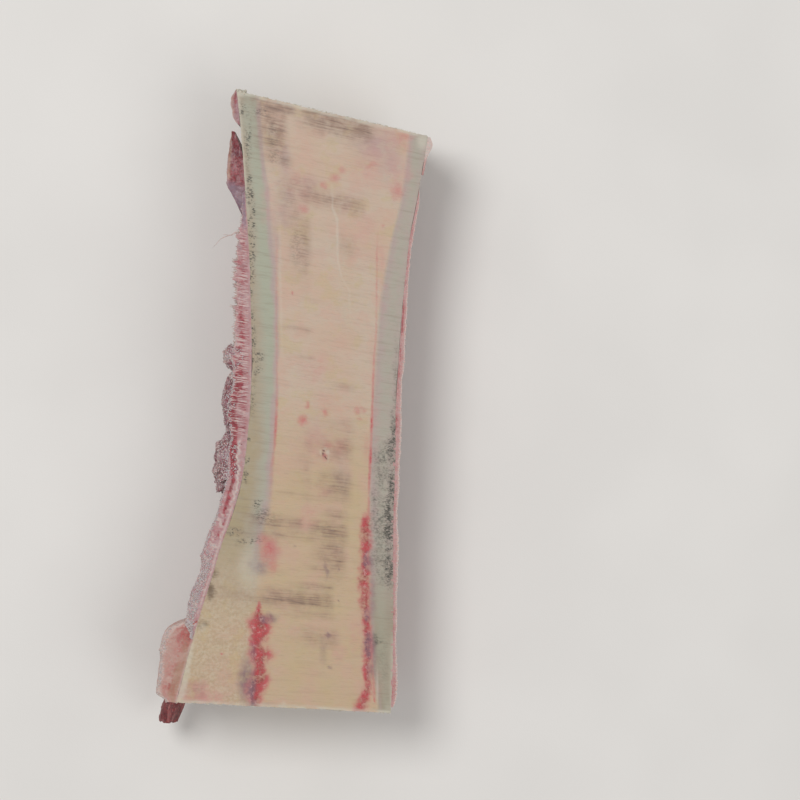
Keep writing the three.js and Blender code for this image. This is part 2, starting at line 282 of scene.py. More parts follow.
RIGHT_BAND = (
    (19.8, -34.5, 1.2, 0.9), (19.8, -41, 1.6, 0.9), (19.3, -46.5, 1.3, 0.8), (19.2, -52, 1.6, 0.9),
    (19.3, -59, 1.5, 0.85), (20, -66, 1.3, 0.9), (20.3, -73, 1.2, 0.9), (20, -80, 1.0, 0.8),
    (20.4, -85.5, 1.1, 0.85), (18.8, -89, 1.2, 0.85), (18, -91.5, 1.9, 0.9),
)
SPLIT_VEIN = ((21.4, -72, 0.3, 0.2), (21.9, -80, 0.3, 0.6), (22.4, -89, 0.3, 0.75))
LEFT_BAND = (
    (-12.3, -59.4, 0.5, 0.5), (-12.4, -62.5, 1.1, 0.9), (-12, -66.5, 3, 1), (-12.3, -69.5, 2.3, 1),
    (-13.1, -72, 1.7, 1), (-11.9, -75.2, 2.9, 1), (-12.3, -78.5, 1.5, 0.95), (-12.1, -82.5, 2.3, 1),
    (-13.9, -86, 2.2, 1), (-13.6, -90, 1.6, 0.95), (-13.2, -93, 1.4, 0.9),
)
RED_SPOTS = (
    (0.9, -4.5, 0.8, 0.7, 0.6), (-23.9, -75, 0.5, 0.4, 0.6), (18, -90, 2.2, 1.6, 0.8),
    (7.5, -15.5, 0.6, 1.2, 0.6), (-9, -42.6, 1.6, 2.4, 0.5), (-2.3, 33.9, 0.35, 0.9, 0.6),
)
FLUSHED = (
    (-10.6, -40.8, 2.2, 2, 0.6), (-9.2, -43.6, 2.8, 3.4, 0.8), (-8.2, -47.6, 1.5, 3, 0.6),
    (0.9, -4.5, 1.6, 1.4, 0.75), (2.1, -0.3, 0.7, 0.9, 0.7), (7.4, -2.3, 1, 1, 0.7),
    (17.1, -1.7, 0.9, 0.9, 0.5),
    (18.8, -1.1, 0.9, 0.7, 0.5), (18, -3.9, 0.7, 0.7, 0.5), (7.3, 66.2, 1.2, 1.1, 0.6),
    (10.5, 68.1, 1.5, 1.3, 0.55), (12.2, 70.3, 1.5, 1.2, 0.45), (1, 58.7, 1.7, 1.5, 0.55),
    (29.1, 64.2, 1.7, 2.4, 0.6), (21.6, 71.9, 1.6, 1.1, 0.45), (24.9, 53.8, 0.6, 0.8, 0.5),
    (30.5, 80.5, 2.6, 2, 0.35), (-28, -90, 9, 2, 0.25), (20.4, -33, 1.2, 1.2, 0.5), (9, -12, 1.8, 1.2, 0.35),
    (12, -12.5, 3, 2.4, 0.3), (20, -13, 1.2, 4, 0.3), (3.5, -11, 3.5, 3, 0.2), (-6, 59, 1.5, 1.5, 0.15),
)
BORDER_VEIN = (
    (-7, 50, 0.4, 0.2), (-7.1, 33, 0.35, 0.35), (-6.9, 8, 0.35, 0.35), (-7, -2, 0.42, 0.75),
    (-7.3, -6.5, 0.42, 0.7), (-7.6, -12, 0.4, 0.6), (-8.6, -20, 0.6, 0.35), (-8.8, -28, 0.6, 0.2),
)
PURPLE_SPOTS = (
    (-12.4, -48.3, 2.6, 3, 0.75), (-9.6, -64.2, 2.6, 1.6, 1), (-15.8, -83, 2.6, 7, 0.9),
    (-14.8, -90, 1.8, 2.4, 0.6), (-14.2, -74, 1.4, 4, 0.45), (-10.2, -91, 1.2, 2, 0.3),
    (20.3, -46.8, 1.7, 2.8, 1), (20.5, -63, 1.4, 2.4, 0.7), (20.9, -72.5, 1.8, 4, 1),
    (21.4, -79, 1.2, 4, 0.75), (21.5, -58, 1.1, 7, 0.4), (7.8, -49.6, 0.5, 2.6, 0.6),
    (8.4, -69.3, 0.8, 0.5, 0.8), (9.1, -78.8, 0.8, 0.7, 0.75),
    (7, -74, 1.2, 4, 0.3), (11.6, -58.5, 0.3, 0.3, 0.9), (-12.8, -46.7, 1.6, 4.5, 0.3),
    (-1.8, -42.5, 0.4, 0.4, 0.6), (11.5, -49, 0.25, 0.6, 0.5),
)
PINK_AREAS = (
    (-0.6, 66, 5.6, 5, 0.5), (4.8, 11, 6, 5.5, 0.4), (7, -25.5, 3.6, 2.6, 0.45), (2.4, -34, 3.4, 3.4, 0.6),
    (17, -70, 3.6, 5, 0.45), (12, -74, 3, 3, 0.45), (-30, -87, 10, 5, 0.95), (28, 79, 6, 4, 0.4),
    (20.5, 70, 5, 6, 0.4), (28.5, 70, 3.5, 9, 0.4), (-20, -69, 7, 4, 0.2), (15, 60, 7, 9, 0.22),
    (6, -12, 6, 7, 0.35), (16, 44, 2.5, 3, 0.3), (18, 52, 6, 12, 0.25), (-9.5, 60, 3, 8, 0.3),
    (21, -83, 5, 7, 0.3), (10, 1, 10, 5, 0.25), (24.6, 40, 1.3, 14, 0.3),
    (-5.5, 79, 1.6, 5, 0.35), (22.5, 0, 1.4, 18, 0.2), (-22, -82, 8, 8, 0.3),
    (31.5, 80, 4, 5, 0.6), (22, 76, 4, 5, 0.35), (32, 70, 3, 6, 0.35),
)
YELLOW_AREAS = (
    (-1.2, -80, 5, 6, 0.75), (-22.8, -70, 6, 8, 0.4), (-16.4, -28, 3.4, 13, 0.75), (-20.5, -42, 3.2, 6, 0.7),
    (-15.4, -5, 1.6, 12, 0.45), (-3, -55, 8, 8, 0.25), (16.5, -24, 2, 12, 0.45), (2.6, -70, 4, 4, 0.25),
    (14, -60, 2.5, 10, 0.25), (-4.5, -26, 3.5, 8, 0.3), (-24, -60, 5, 5, 0.2), (14.6, 40, 3, 16, 0.2),
)
PALE_VESSEL = (
    (9.6, 66.3, 0.3, 0.4), (9.8, 59.1, 0.35, 0.75), (11.2, 55.8, 0.4, 0.85), (11.4, 43.2, 0.35, 0.7),
    (12.6, 38.1, 0.3, 0.35), (14.9, 34.2, 0.3, 0.4), (15, 26.4, 0.3, 0.2),
)
PALE_LINE = ((-6, 56, 0.35, 0.2), (-6, 38, 0.4, 0.5), (-5.6, 24, 0.35, 0.4), (-5.3, 14, 0.3, 0.1))
PALE_CORTEX = (
    (-31.6, -68, 0.5, 0.2), (-33.6, -76, 1.1, 0.55), (-36, -88, 1.3, 0.65), (-36.6, -93, 1.3, 0.65),
)
PALE_EDGE = ((-18.5, 92, 0.5, 0.7), (-17.6, 80, 0.5, 0.6), (-16.3, 66, 0.45, 0.5), (-15.4, 56, 0.4, 0.2))
LEFT_FLECKS = (
    (-15.6, 79, 1.1, 9, 0.5), (-15.2, 64, 1.3, 6, 0.85), (-14.6, 52, 1.2, 10, 0.9), (-15, 38, 1.2, 8, 0.75),
    (-14.8, 22, 1.8, 8, 0.6), (-13.4, 14.4, 2.6, 1.6, 1), (-12.6, 10, 1.6, 2, 0.5), (-14, 2, 1.2, 6, 0.4),
    (-8.2, 82, 1.6, 7, 0.25), (-7.6, 74.5, 3, 2.4, 0.25), (-12, 88, 6, 2, 0.3), (-18, 89, 2, 2.4, 0.7),
    (-15.6, -10, 1, 1.4, 0.9), (-15.9, -16.5, 0.9, 0.9, 1.1), (-16.2, -21, 1, 3, 0.6),
    (-11, -33.5, 4, 3, 0.35), (-19.5, -38, 2.4, 1.5, 0.6), (-15, -40.5, 5, 1, 0.45), (-1, 48, 2.5, 8, 0.2),
    (-12.8, -29.8, 1.4, 1.4, 0.7),
)
RIGHT_GRIME = (
    (28.6, 6, 0.8, 16, 0.5), (28.4, -8, 1.3, 7, 1), (27.8, -14.5, 2.2, 5, 1.25), (24.6, -15.5, 2.6, 4, 0.7),
    (27.8, -24, 1.4, 8, 1.3), (24.6, -21, 3, 6, 0.6), (26.8, -36, 1.8, 10, 1.3), (24, -35, 2.8, 9, 0.65),
    (26.6, -48, 1.6, 6, 1.3), (23.8, -46, 2.4, 7, 0.6), (22.4, -30, 1.2, 6, 0.7),
    (25.6, -52.5, 2.2, 2.2, 0.6),
    (22.7, -70.5, 0.9, 2, 0.7), (24.2, -71, 0.6, 0.6, 0.8), (28.6, 16, 0.6, 5, 0.5), (25, -78, 3, 12, 0.3),
)
LILAC_AREAS = (
    (23, 78, 7, 5, 0.8), (27, 73, 4, 6, 0.6), (-4.5, 74, 2, 6, 0.6), (-4, 64, 3, 4, 0.4),
    (-9.5, -43, 3, 6, 0.5),
    (3, 66, 4, 3, 0.4), (-4.6, 57, 2.4, 5, 0.5), (12.6, -21, 3, 6, 0.35), (5, -7, 4, 6, 0.25),
    (-7.5, 47, 1.6, 12, 0.6),
)
STAINS = (
    (-25.6, -50.5, 1.6, 2.6, 0.8), (-27, -56, 2, 3, 1), (-29.3, -66, 2.6, 2.2, 0.6),
    (-30.3, -63.5, 1.3, 1.3, 0.35), (-19.2, -42, 0.7, 0.7, 0.5), (-21.6, -36, 1, 0.5, 0.4),
)
# Small pits: (across, along, half width, half length)
PITS = ((7.1, -13.7, 0.22, 0.26), (6.9, -14.7, 0.32, 0.34), (7.5, -15.5, 0.2, 0.24), (7.9, -16, 0.28, 0.2))
PITS_MASK = tuple((x, y, 1.1 * rx, 1.1 * ry, 1.0) for x, y, rx, ry in PITS)
# Pale spots: (across, along, half width, half length, strength). The first four, round the pits, are a
# painted highlight on the pits' rims; the others are pale places of the face
PALE_SPOTS_AND_PIT_HIGHLIGHT = (
    (8.3, -14.2, 0.8, 0.8, 0.65), (6.2, -14.2, 0.35, 0.9, 0.6), (7.4, -13.1, 0.8, 0.3, 0.5),
    (8.6, -15.8, 0.4, 0.8, 0.4), (36.8, 79.2, 2, 3, 0.7), (-18.4, 93.4, 2.2, 1.2, 0.9),
    (-15, -49, 4.5, 7, 0.4), (-4.9, -89.8, 0.8, 1.2, 0.5), (-29, -67, 1.5, 1.5, 0.3),
    (23.2, -85, 0.4, 7, 0.45), (26.9, -91, 1.4, 2, 0.3),
)


def face_slope(share):
    """How the saw's strokes slant across the face."""
    return WIDE_END_SLOPE + (NARROW_END_SLOPE - WIDE_END_SLOPE) * share


def smeared(share, x, y):
    """Where the saw smeared the face: soft above, below and on the left, steeper on the right."""
    found = np.zeros(np.broadcast(x, y).shape)
    slope = face_slope(share)
    for cx, cy, hx, hy, strength in SMEARS:
        off = y - cy - slope * (x - cx)
        beside = smooth(x - cx + hx, -4, 6) * smooth(cx + hx - x, -1.2, 2)
        found = np.maximum(found, strength * beside * (1 - smooth(np.abs(off) / (hy + 0.4), 0, 1.7)))
    return found


OLIVE_REACH = through((0.15, 0.9), (0.3, 0.62), (0.45, 0.5), (0.6, 0.34), (0.75, 0.22), (1, 0.2))
OLIVE_STRENGTH = through((0.15, 0.5), (0.3, 0.95), (0.45, 0.8), (0.6, 0.65), (1, 0.6))
GREEN_STRENGTH = through((0.15, 0.1), (0.3, 0.6), (0.45, 0.75), (0.65, 0.95), (1, 0.8))


def wall_masks(share, x):
    """The bone wall's own colours, from places across it: 0 at the bone's outside, 1 at the marrow."""
    left, right = CAVITY_LEFT(share), CAVITY_RIGHT(share)
    in_left = (x - LEFT_EDGE(share)) / (left - LEFT_EDGE(share))
    in_right = (RIGHT_EDGE(share) - x) / (RIGHT_EDGE(share) - right)
    place = stacked(x, share * LENGTH, 0.0)
    in_left = in_left + 0.1 * rough(place, (4, 6, 1), 7)
    in_right = in_right + 0.12 * rough(place, (4, 8, 1), 8)
    wall_left = 1 - smooth(x - left, -1.1, 0.8)
    wall_right = smooth(x - right, -0.6, 0.7)
    olive = 1 - smooth(in_left - OLIVE_REACH(share), -0.3, 0.3)
    green = (1 - olive) * (1 - smooth(in_left, 0.72, 1))
    green = green * wall_left * GREEN_STRENGTH(share)
    return {
        "wall": np.maximum(wall_left * smooth(share, 0.12, 0.3), wall_right),
        "sponge": wall_left * (1 - smooth(share, 0.15, 0.3)),
        "green": green + 0.3 * wall_right * fade(in_right, 0.1, 0.8, 0.3),
        "olive": olive * wall_left * smooth(share, 0.1, 0.25) * OLIVE_STRENGTH(share),
        "lilac": 0.75 * fade(in_left, 0.78, 1.12, 0.16) * smooth(share, 0.2, 0.4)
        + 0.5 * fade(in_right, 0.7, 1.05, 0.2),
    }


# How deep in mm the face's colours and its smears reach, as seen on the end faces
COLOURS_REACH, SMEARS_REACH = 5, 1.5


def face_masks(share, x, depth):
    """What colours the sawn faces, each from 0 to 1, as the materials read them."""
    share, x, depth = np.broadcast_arrays(share, x, depth)
    y = placed(share, x, depth)[..., 1]
    flat = stacked(x, y, depth)
    wx = x + 0.5 * rough(flat, 2.2, 3) + 0.3 * grain(flat, 0.7, 9)
    wy = y + 0.7 * rough(flat, 2.2, 4) + 0.3 * grain(flat, 0.7, 10)
    fine_x = x + 0.12 * grain(flat, 0.9, 5)
    near = np.exp(-np.maximum(depth, 0) / COLOURS_REACH)
    blood = np.maximum(trace(wx, wy, RIGHT_BAND, (0, 2.1)), trace(wx, wy, LEFT_BAND, (0.1, 2.1)))
    blood = np.maximum(blood, spots(wx, wy, RED_SPOTS, (0, 1.7)))
    veins = (RIGHT_VEIN, SPLIT_VEIN, BORDER_VEIN)
    veins = np.maximum.reduce([trace(fine_x, y, vein, (0.2, 1.8)) for vein in veins])
    veins = veins * (0.8 + 0.5 * rough(flat, (3, 2.5, 1), 2))
    ends = 1 - smooth(np.minimum(share, 1 - share) * LENGTH, 0.2, 1.3)
    frayed = 0.7 + 0.5 * grain(flat, (2, 1, 1), 6)
    # Pale places, with the painted highlight on the pits' rims among the spots
    pale = np.maximum.reduce([
        0.55 * np.maximum(trace(fine_x, y, PALE_VESSEL), trace(fine_x, y, PALE_LINE)),
        spots(x, y, PALE_SPOTS_AND_PIT_HIGHLIGHT, (0.3, 1.3)), np.clip(ends * frayed, 0, 0.8),
        trace(wx, y, PALE_CORTEX, (0.2, 1.5)), trace(fine_x, y, PALE_EDGE, (0.2, 1.6)),
    ])
    flecks = np.maximum(spots(wx, wy, LEFT_FLECKS, (0.2, 1.5)), 0.5 * spots(wx, wy, RIGHT_GRIME, (0, 2)))
    masks = {
        "blood": blood,
        "vein": np.maximum(veins, 0.85 * spots(wx, wy, FLUSHED, (0, 1.9))),
        "purple": spots(wx, wy, PURPLE_SPOTS, (0.1, 1.6)),
        "pink": spots(wx, wy, PINK_AREAS, (0.1, 1.4)),
        "yellow": spots(wx, wy, YELLOW_AREAS, (0.1, 1.4)),
        "pale": pale,
        "grime": spots(wx, wy, RIGHT_GRIME, (0, 1.6)),
        "fleck": flecks,
        "stain": spots(wx, wy, STAINS, (0.1, 1.4)),
        "pit": spots(x, y, PITS_MASK),
    }
    masks = {name: values * near for name, values in masks.items()}
    masks["stroke"] = share * LENGTH
    masks["smear"] = smeared(share, x, y) * np.exp(-np.maximum(depth, 0) / SMEARS_REACH)
    masks.update(wall_masks(share, x))
    masks["lilac"] = np.maximum(masks["lilac"], spots(wx, wy, LILAC_AREAS, (0, 1.5)))
    return masks


def face_relief(share, x, y, sponge, blood):
    """The sawn face's height in mm: the saw's ridges, the spongy bone's pores, soft bands and pits."""
    stroke = share * LENGTH
    ridges = stacked(x, stroke, 0.0)
    flat = stacked(x, y, 0.0)
    height = 0.035 * grain(ridges, (30, 1.6, 1), 21) + 0.02 * grain(ridges, (12, 0.8, 1), 22)
    height = height + sponge * 0.13 * rough(flat, 1.0, 23, 2) - 0.05 * sponge
    height = height + blood * (0.1 * rough(flat, 0.9, 24, 2) - 0.12)
    height = height + 0.05 * trace(x, y, PALE_VESSEL)
    for cx, cy, rx, ry in PITS:
        height = height - 0.2 * (1 - smooth(np.hypot((x - cx) / rx, (y - cy) / ry), 0.4, 1.2))
    return height


# Meshes from lattices of points
class Skin:
    """The outside of a lattice of points. Each field is an array with one value a point: share, x, depth,
    and i, j and k, the places in the lattice from 0 to 1. Points that coincide are one point."""

    def __init__(self, share, x, depth):
        share, x, depth = np.broadcast_arrays(share, x, depth)
        shape = share.shape
        quads, sides = lattice_sides(shape)
        used, quads = np.unique(quads, return_inverse=True)
        quads = quads.reshape(-1, 4)
        points = placed(share, x, depth).reshape(-1, 3)[used]
        a, b, c, d = (points[quads[:, k]] - points.mean(0) for k in range(4))
        if np.sum(a * (np.cross(b, c) + np.cross(c, d))) < 0:
            quads = quads[:, ::-1]
        _, first, merged = np.unique(
            np.round(points * 1e4).astype(np.int64), axis=0, return_index=True, return_inverse=True
        )
        self.faces, kept = whole_faces(merged.ravel()[quads])
        self.sides = sides[kept]
        self.points = points[first]
        places = [(n / (size - 1)) for n, size in zip(np.unravel_index(used[first], shape), shape)]
        self.i, self.j, self.k = places
        self.share, self.x, self.depth = (f.reshape(-1)[used][first] for f in (share, x, depth))

    def move(self, x=0.0, y=0.0, z=0.0):
        """Moves the points by so many mm, each an array or a number."""
        self.points = self.points + stacked(x, y, z)


def lattice_sides(shape):
    """The quads of a lattice's six sides, and which side each is on: first and last along each axis."""
    index = np.arange(np.prod(shape)).reshape(shape)
    quads, sides = [], []
    for axis, end in itertools.product(range(3), (0, -1)):
        sheet = np.take(index, end, axis=axis)
        corners = [sheet[:-1, :-1], sheet[1:, :-1], sheet[1:, 1:], sheet[:-1, 1:]]
        if (axis == 1) == (end == 0):
            corners.reverse()
        quad = np.stack(corners, -1).reshape(-1, 4)
        quads.append(quad)
        sides.append(np.full(len(quad), 2 * axis - end))
    return np.concatenate(quads), np.concatenate(sides)


def whole_faces(quads):
    """The quads that hold an area, and which those are. One with two equal corners has them last."""
    same = np.stack([quads[:, k] == quads[:, (k + 1) % 4] for k in range(4)], -1)
    count = same.sum(1)
    turned = quads.copy()
    for k in range(4):
        rows = same[:, k] & (count == 1)
        turned[rows] = np.roll(quads[rows], 2 - k, axis=1)
    kept = (count < 2) & (turned[:, 0] != turned[:, 2]) & (turned[:, 1] != turned[:, 3])
    return turned[kept], kept


MASKS = (
    "stroke", "wall", "green", "olive", "lilac", "sponge", "blood", "vein", "purple", "pink", "yellow",
    "pale", "smear", "grime", "fleck", "stain", "pit", "lean", "frost", "comb", "silver", "rim", "tan",
    "outer",
)


def make_piece(name, points, faces, materials, face_materials, masks, sharp=40):
    """A mesh object from points in mm and faces of 4 corners, the last two equal for a triangle."""
    keep = np.ones(faces.shape, bool)
    keep[:, 3] = faces[:, 2] != faces[:, 3]
    totals = keep.sum(1)
    mesh = bpy.data.meshes.new(name)
    mesh.vertices.add(len(points))
    mesh.vertices.foreach_set("co", to_frame(points).astype(np.float32).ravel())
    mesh.loops.add(int(totals.sum()))
    mesh.loops.foreach_set("vertex_index", faces[keep].astype(np.int32))
    mesh.polygons.add(len(faces))
    mesh.polygons.foreach_set("loop_start", (np.cumsum(totals) - totals).astype(np.int32))
    for material in materials:
        mesh.materials.append(material)
    mesh.polygons.foreach_set("material_index", np.broadcast_to(face_materials, len(faces)).astype(np.int32))
    mesh.update(calc_edges=True)
    mesh.shade_smooth()
    mesh.set_sharp_from_angle(angle=math.radians(sharp))
    for mask, values in masks.items():
        assert mask in MASKS, mask
        layer = mesh.attributes.new(mask, "FLOAT", "POINT")
        layer.data.foreach_set("value", np.broadcast_to(values, len(points)).astype(np.float32))
    made = bpy.data.objects.new(name, mesh)
    bpy.context.scene.collection.objects.link(made)
    return made


def rides(piece, slot, *nodes):
    """Rides the piece on the one body, in place of its solids."""
    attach(piece, "root")
    if nodes:
        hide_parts(*nodes)


def add_skin(name, skin, material, masks, slot, node):
    """A skin's piece, in place of its solid."""
    piece = make_piece(name, skin.points, skin.faces, [material], 0, masks)
    rides(piece, slot, node)


# Materials
def srgb(*display):
    """An 8-bit display colour as linear light, with alpha."""
    lights = [(c / 255 / 12.92) if c <= 10 else ((c / 255 + 0.055) / 1.055) ** 2.4 for c in display]
    return (*lights, 1.0)


class Graph:
    """A material's nodes, made from numbers, colours and other nodes' outputs."""

    def __init__(self, name):
        self.material = bpy.data.materials.new(name)
        self.material.use_nodes = True
        self.tree = self.material.node_tree
        self.tree.nodes.clear()
        place = self.add("TexCoord", {}).outputs["Object"]
        self.mm = self.add("VectorMath", {0: place, "Scale": 1000.0}, operation="SCALE").outputs[0]
        apart = self.add("SeparateXYZ", {0: self.mm})
        self.x, self.y, self.z = apart.outputs

    def add(self, kind, sockets, **settings):
        """A node with its sockets linked or set, and its settings."""
        node = self.tree.nodes.new("ShaderNode" + kind)
        for key, value in settings.items():
            setattr(node, key, value)
        for key, value in sockets.items():
            if isinstance(value, bpy.types.NodeSocket):
                self.tree.links.new(value, node.inputs[key])
            else:
                node.inputs[key].default_value = value
        return node

    def mask(self, name):
        """A mask of the mesh. Where a mesh lacks it, it is 0."""
        return self.add("Attribute", {}, attribute_name=name).outputs["Fac"]

    def math(self, operation, a, b=0.0):
        """An operation on two values."""
        return self.add("Math", {0: a, 1: b}, operation=operation).outputs[0]

    def times(self, *values):
        """The product of all values."""
        product = values[0]
        for value in values[1:]:
            product = self.math("MULTIPLY", product, value)
        return product

    def plus(self, a, b):
        """Two values added up."""
        return self.math("ADD", a, b)

    def stirred(self, name, *noises):
        """A mask with noises added, each as (noise, how much): its edges and insides break up."""
        total = self.mask(name)
        for noise, much in noises:
            total = self.plus(total, self.times(self.math("SUBTRACT", noise, 0.5), much))
        return total

    def ramp(self, value, low, high, to_low=0.0, to_high=1.0):
        """value taken smoothly from low..high to to_low..to_high."""
        sockets = {"Value": value, "From Min": low, "From Max": high, "To Min": to_low, "To Max": to_high}
        return self.add("MapRange", sockets, interpolation_type="SMOOTHSTEP").outputs["Result"]

    def noise(self, size, detail=2.0, roughness=0.5, distortion=0.0, place=None):
        """Noise with features of a size in mm, or of 1 in a place that is scaled already."""
        sockets = {
            "Vector": self.mm if place is None else place, "Scale": 1 / size,
            "Detail": detail, "Roughness": roughness, "Distortion": distortion,
        }
        return self.add("TexNoise", sockets).outputs["Fac"]

    def cells(self, size, place=None):
        """Distances from the middles of cells, sized like noise."""
        sockets = {"Vector": self.mm if place is None else place, "Scale": 1 / size}
        return self.add("TexVoronoi", sockets).outputs["Distance"]

    def along(self, across, along, down=None):
        """A place for noise that is stretched along the saw's strokes: sizes in mm."""
        stroke = self.mask("stroke")
        parts = {0: self.times(self.x, 1 / across), 1: self.times(stroke, 1 / along)}
        parts[2] = self.times(self.z, 1 / (down or across))
        return self.add("CombineXYZ", parts).outputs[0]

    def fibres(self, across, along):
        """A place for noise that is stretched along the bone: sizes in mm."""
        parts = {0: self.times(self.x, 1 / across), 1: self.times(self.y, 1 / along)}
        parts[2] = self.times(self.z, 1 / across)
        return self.add("CombineXYZ", parts).outputs[0]

    def blend(self, factor, a, b):
        """Colour a, turned into colour b by a factor from 0 to 1."""
        return self.add("Mix", {0: factor, 6: a, 7: b}, data_type="RGBA", clamp_factor=True).outputs[2]

    def bump(self, height, mm):
        """A normal, from a height of 0 to 1 that stands for so many mm."""
        return self.add("Bump", {"Height": height, "Distance": mm / 1000, "Strength": 1.0}).outputs["Normal"]

    def finish(self, colour, roughness, normal, **sockets):
        """Ends the graph in one shader. Sockets are its even values."""
        values = {"Base Color": colour, "Roughness": roughness, "Normal": normal}
        values.update({key.replace("_", " "): value for key, value in sockets.items()})
        shader = self.add("BsdfPrincipled", values)
        output = self.add("OutputMaterial", {"Surface": shader.outputs[0]})
        output.is_active_output = True
        return self.material


MARROW, MARROW_WARM, MARROW_LOW = srgb(193, 173, 154), srgb(194, 168, 147), srgb(191, 166, 137)
CREAM, ROSY = srgb(188, 168, 130), srgb(196, 160, 143)
SPONGE, SPONGE_GOLD = srgb(184, 164, 136), srgb(186, 162, 118)
SPONGE_PALE, SPONGE_DEEP = srgb(192, 175, 150), srgb(174, 150, 121)
WALL, WALL_ROSY, WALL_LOW = srgb(168, 158, 146), srgb(172, 156, 147), srgb(155, 144, 125)
WALL_GREEN, WALL_OLIVE, WALL_LILAC = srgb(162, 164, 144), srgb(163, 147, 115), srgb(172, 150, 146)
WALL_SHADE = srgb(128, 122, 104)
ROSE, FLUSH, FLECK = srgb(196, 140, 134), srgb(190, 112, 110), srgb(204, 166, 162)
BLOOD, BLOOD_DEEP, PURPLE = srgb(184, 64, 72), srgb(136, 38, 46), srgb(118, 88, 98)
SMEAR, SMEAR_DARK, PALE = srgb(138, 108, 92), srgb(98, 82, 72), srgb(200, 194, 178)
GRIME, STAIN, PIT = srgb(58, 56, 48), srgb(104, 84, 64), srgb(84, 18, 26)


def face_noises(g):
    """The noises that break up the sawn face's colours: even, or drawn out along the saw's strokes."""
    return SimpleNamespace(
        broad=g.noise(16, 2), patches=g.noise(7, 3, 0.6), mottled=g.noise(3.2, 3, 0.6),
        granular=g.noise(0.75, 2, 0.6), blots=g.noise(2, 4, 0.75), flecks=g.noise(1.3, 3, 0.7),
        lines=g.noise(1, 2, 0.6, place=g.along(9, 0.5)),
        hairs=g.noise(1, 3, 0.7, place=g.along(2.6, 0.17, 0.6)),
        sweeps=g.noise(1, 3, 0.65, place=g.along(14, 1.1)),
        dashes=g.noise(1, 3, 0.7, place=g.along(1.8, 0.3, 0.8)),
        dots=g.cells(1, place=g.along(0.8, 0.42, 0.6)),
    )


def face_tissues(g, n):
    """The colours of marrow, spongy bone and bone wall, with their flushed places."""
    colour = g.blend(g.ramp(n.broad, 0.38, 0.62), MARROW, MARROW_WARM)
    colour = g.blend(g.ramp(g.y, 12, -26), colour, MARROW_LOW)
    colour = g.blend(g.ramp(n.patches, 0.5, 0.62, 0, 0.4), colour, ROSY)
    colour = g.blend(g.ramp(n.patches, 0.47, 0.36, 0, 0.45), colour, CREAM)
    colour = g.blend(g.times(g.mask("yellow"), g.ramp(n.mottled, 0.25, 0.6, 0.5, 0.9)), colour, CREAM)
    sponge = g.blend(g.ramp(n.granular, 0.35, 0.62), SPONGE_DEEP, SPONGE_PALE)
    sponge = g.blend(g.ramp(n.mottled, 0.4, 0.7, 0.25, 0.8), sponge, SPONGE)
    sponge = g.blend(g.ramp(n.patches, 0.48, 0.36, 0, 0.5), sponge, SPONGE_GOLD)
    colour = g.blend(g.times(g.mask("sponge"), 0.8), colour, sponge)
    wall = g.blend(g.ramp(n.mottled, 0.35, 0.65), WALL, WALL_ROSY)
    wall = g.blend(g.ramp(g.y, -40, -70), wall, WALL_LOW)
    wall = g.blend(g.mask("green"), wall, WALL_GREEN)
    wall = g.blend(g.times(g.mask("olive"), g.ramp(n.mottled, 0.3, 0.6, 0.75, 1)), wall, WALL_OLIVE)
    wall = g.blend(g.ramp(n.sweeps, 0.5, 0.68, 0, 0.18), wall, WALL_SHADE)
    colour = g.blend(g.mask("wall"), colour, wall)
    colour = g.blend(g.times(g.mask("lilac"), g.ramp(n.mottled, 0.35, 0.6, 0.6, 1)), colour, WALL_LILAC)
    return g.blend(g.times(g.mask("pink"), g.ramp(n.mottled, 0.36, 0.62, 0.25, 0.9)), colour, ROSE)


def with_saw_marks(g, n, colour):
    """The saw's smears and its fine dark and pale lines."""
    colour = g.blend(g.ramp(n.sweeps, 0.5, 0.7, 0, 0.12), colour, SMEAR)
    haze = g.plus(g.ramp(n.lines, 0.35, 0.65, 0, 0.35), g.ramp(n.mottled, 0.35, 0.65, 0.3, 0.75))
    colour = g.blend(g.times(g.mask("smear"), haze, 0.95), colour, SMEAR)
    dark = g.times(g.ramp(g.stirred("smear", (n.mottled, 1.5)), 0.1, 1.1), g.ramp(n.lines, 0.5, 0.7), 0.55)
    colour = g.blend(dark, colour, SMEAR_DARK)
    colour = g.blend(g.ramp(n.hairs, 0.54, 0.74, 0, 0.24), colour, SMEAR_DARK)
    return g.blend(g.ramp(n.hairs, 0.42, 0.22, 0, 0.22), colour, PALE)


def with_blood(g, n, colour):
    """Bruises, blood in bands with a flushed edge, and veins. Also returns how wet the face is."""
    bruise = g.times(
        g.mask("purple"), g.ramp(n.mottled, 0.3, 0.55, 0.55, 1), g.ramp(n.granular, 0.3, 0.6, 0.75, 1)
    )
    colour = g.blend(bruise, colour, PURPLE)
    flush = g.times(g.ramp(g.mask("blood"), 0, 0.75), g.ramp(n.mottled, 0.36, 0.6, 0.45, 1), 0.8)
    colour = g.blend(flush, colour, FLUSH)
    wet = g.ramp(g.stirred("blood", (n.granular, 1.3), (n.mottled, 2)), 0.1, 1.2)
    wet = g.times(wet, g.ramp(g.mask("blood"), 0.03, 0.8))
    red = g.blend(g.ramp(n.mottled, 0.42, 0.58), BLOOD_DEEP, BLOOD)
    red = g.blend(g.ramp(n.granular, 0.6, 0.42, 0, 0.45), red, BLOOD_DEEP)
    red = g.blend(g.ramp(g.mask("purple"), 0.1, 0.6), red, PURPLE)
    red = g.blend(g.ramp(n.flecks, 0.54, 0.66, 0, 0.6), red, FLECK)
    colour = g.blend(g.times(wet, 0.84), colour, red)
    vein = g.times(g.mask("vein"), g.ramp(n.granular, 0.3, 0.6, 0.7, 1))
    colour = g.blend(g.ramp(vein, 0, 0.5, 0, 0.55), colour, FLUSH)
    return g.blend(g.ramp(vein, 0.4, 1, 0, 0.9), colour, BLOOD), wet


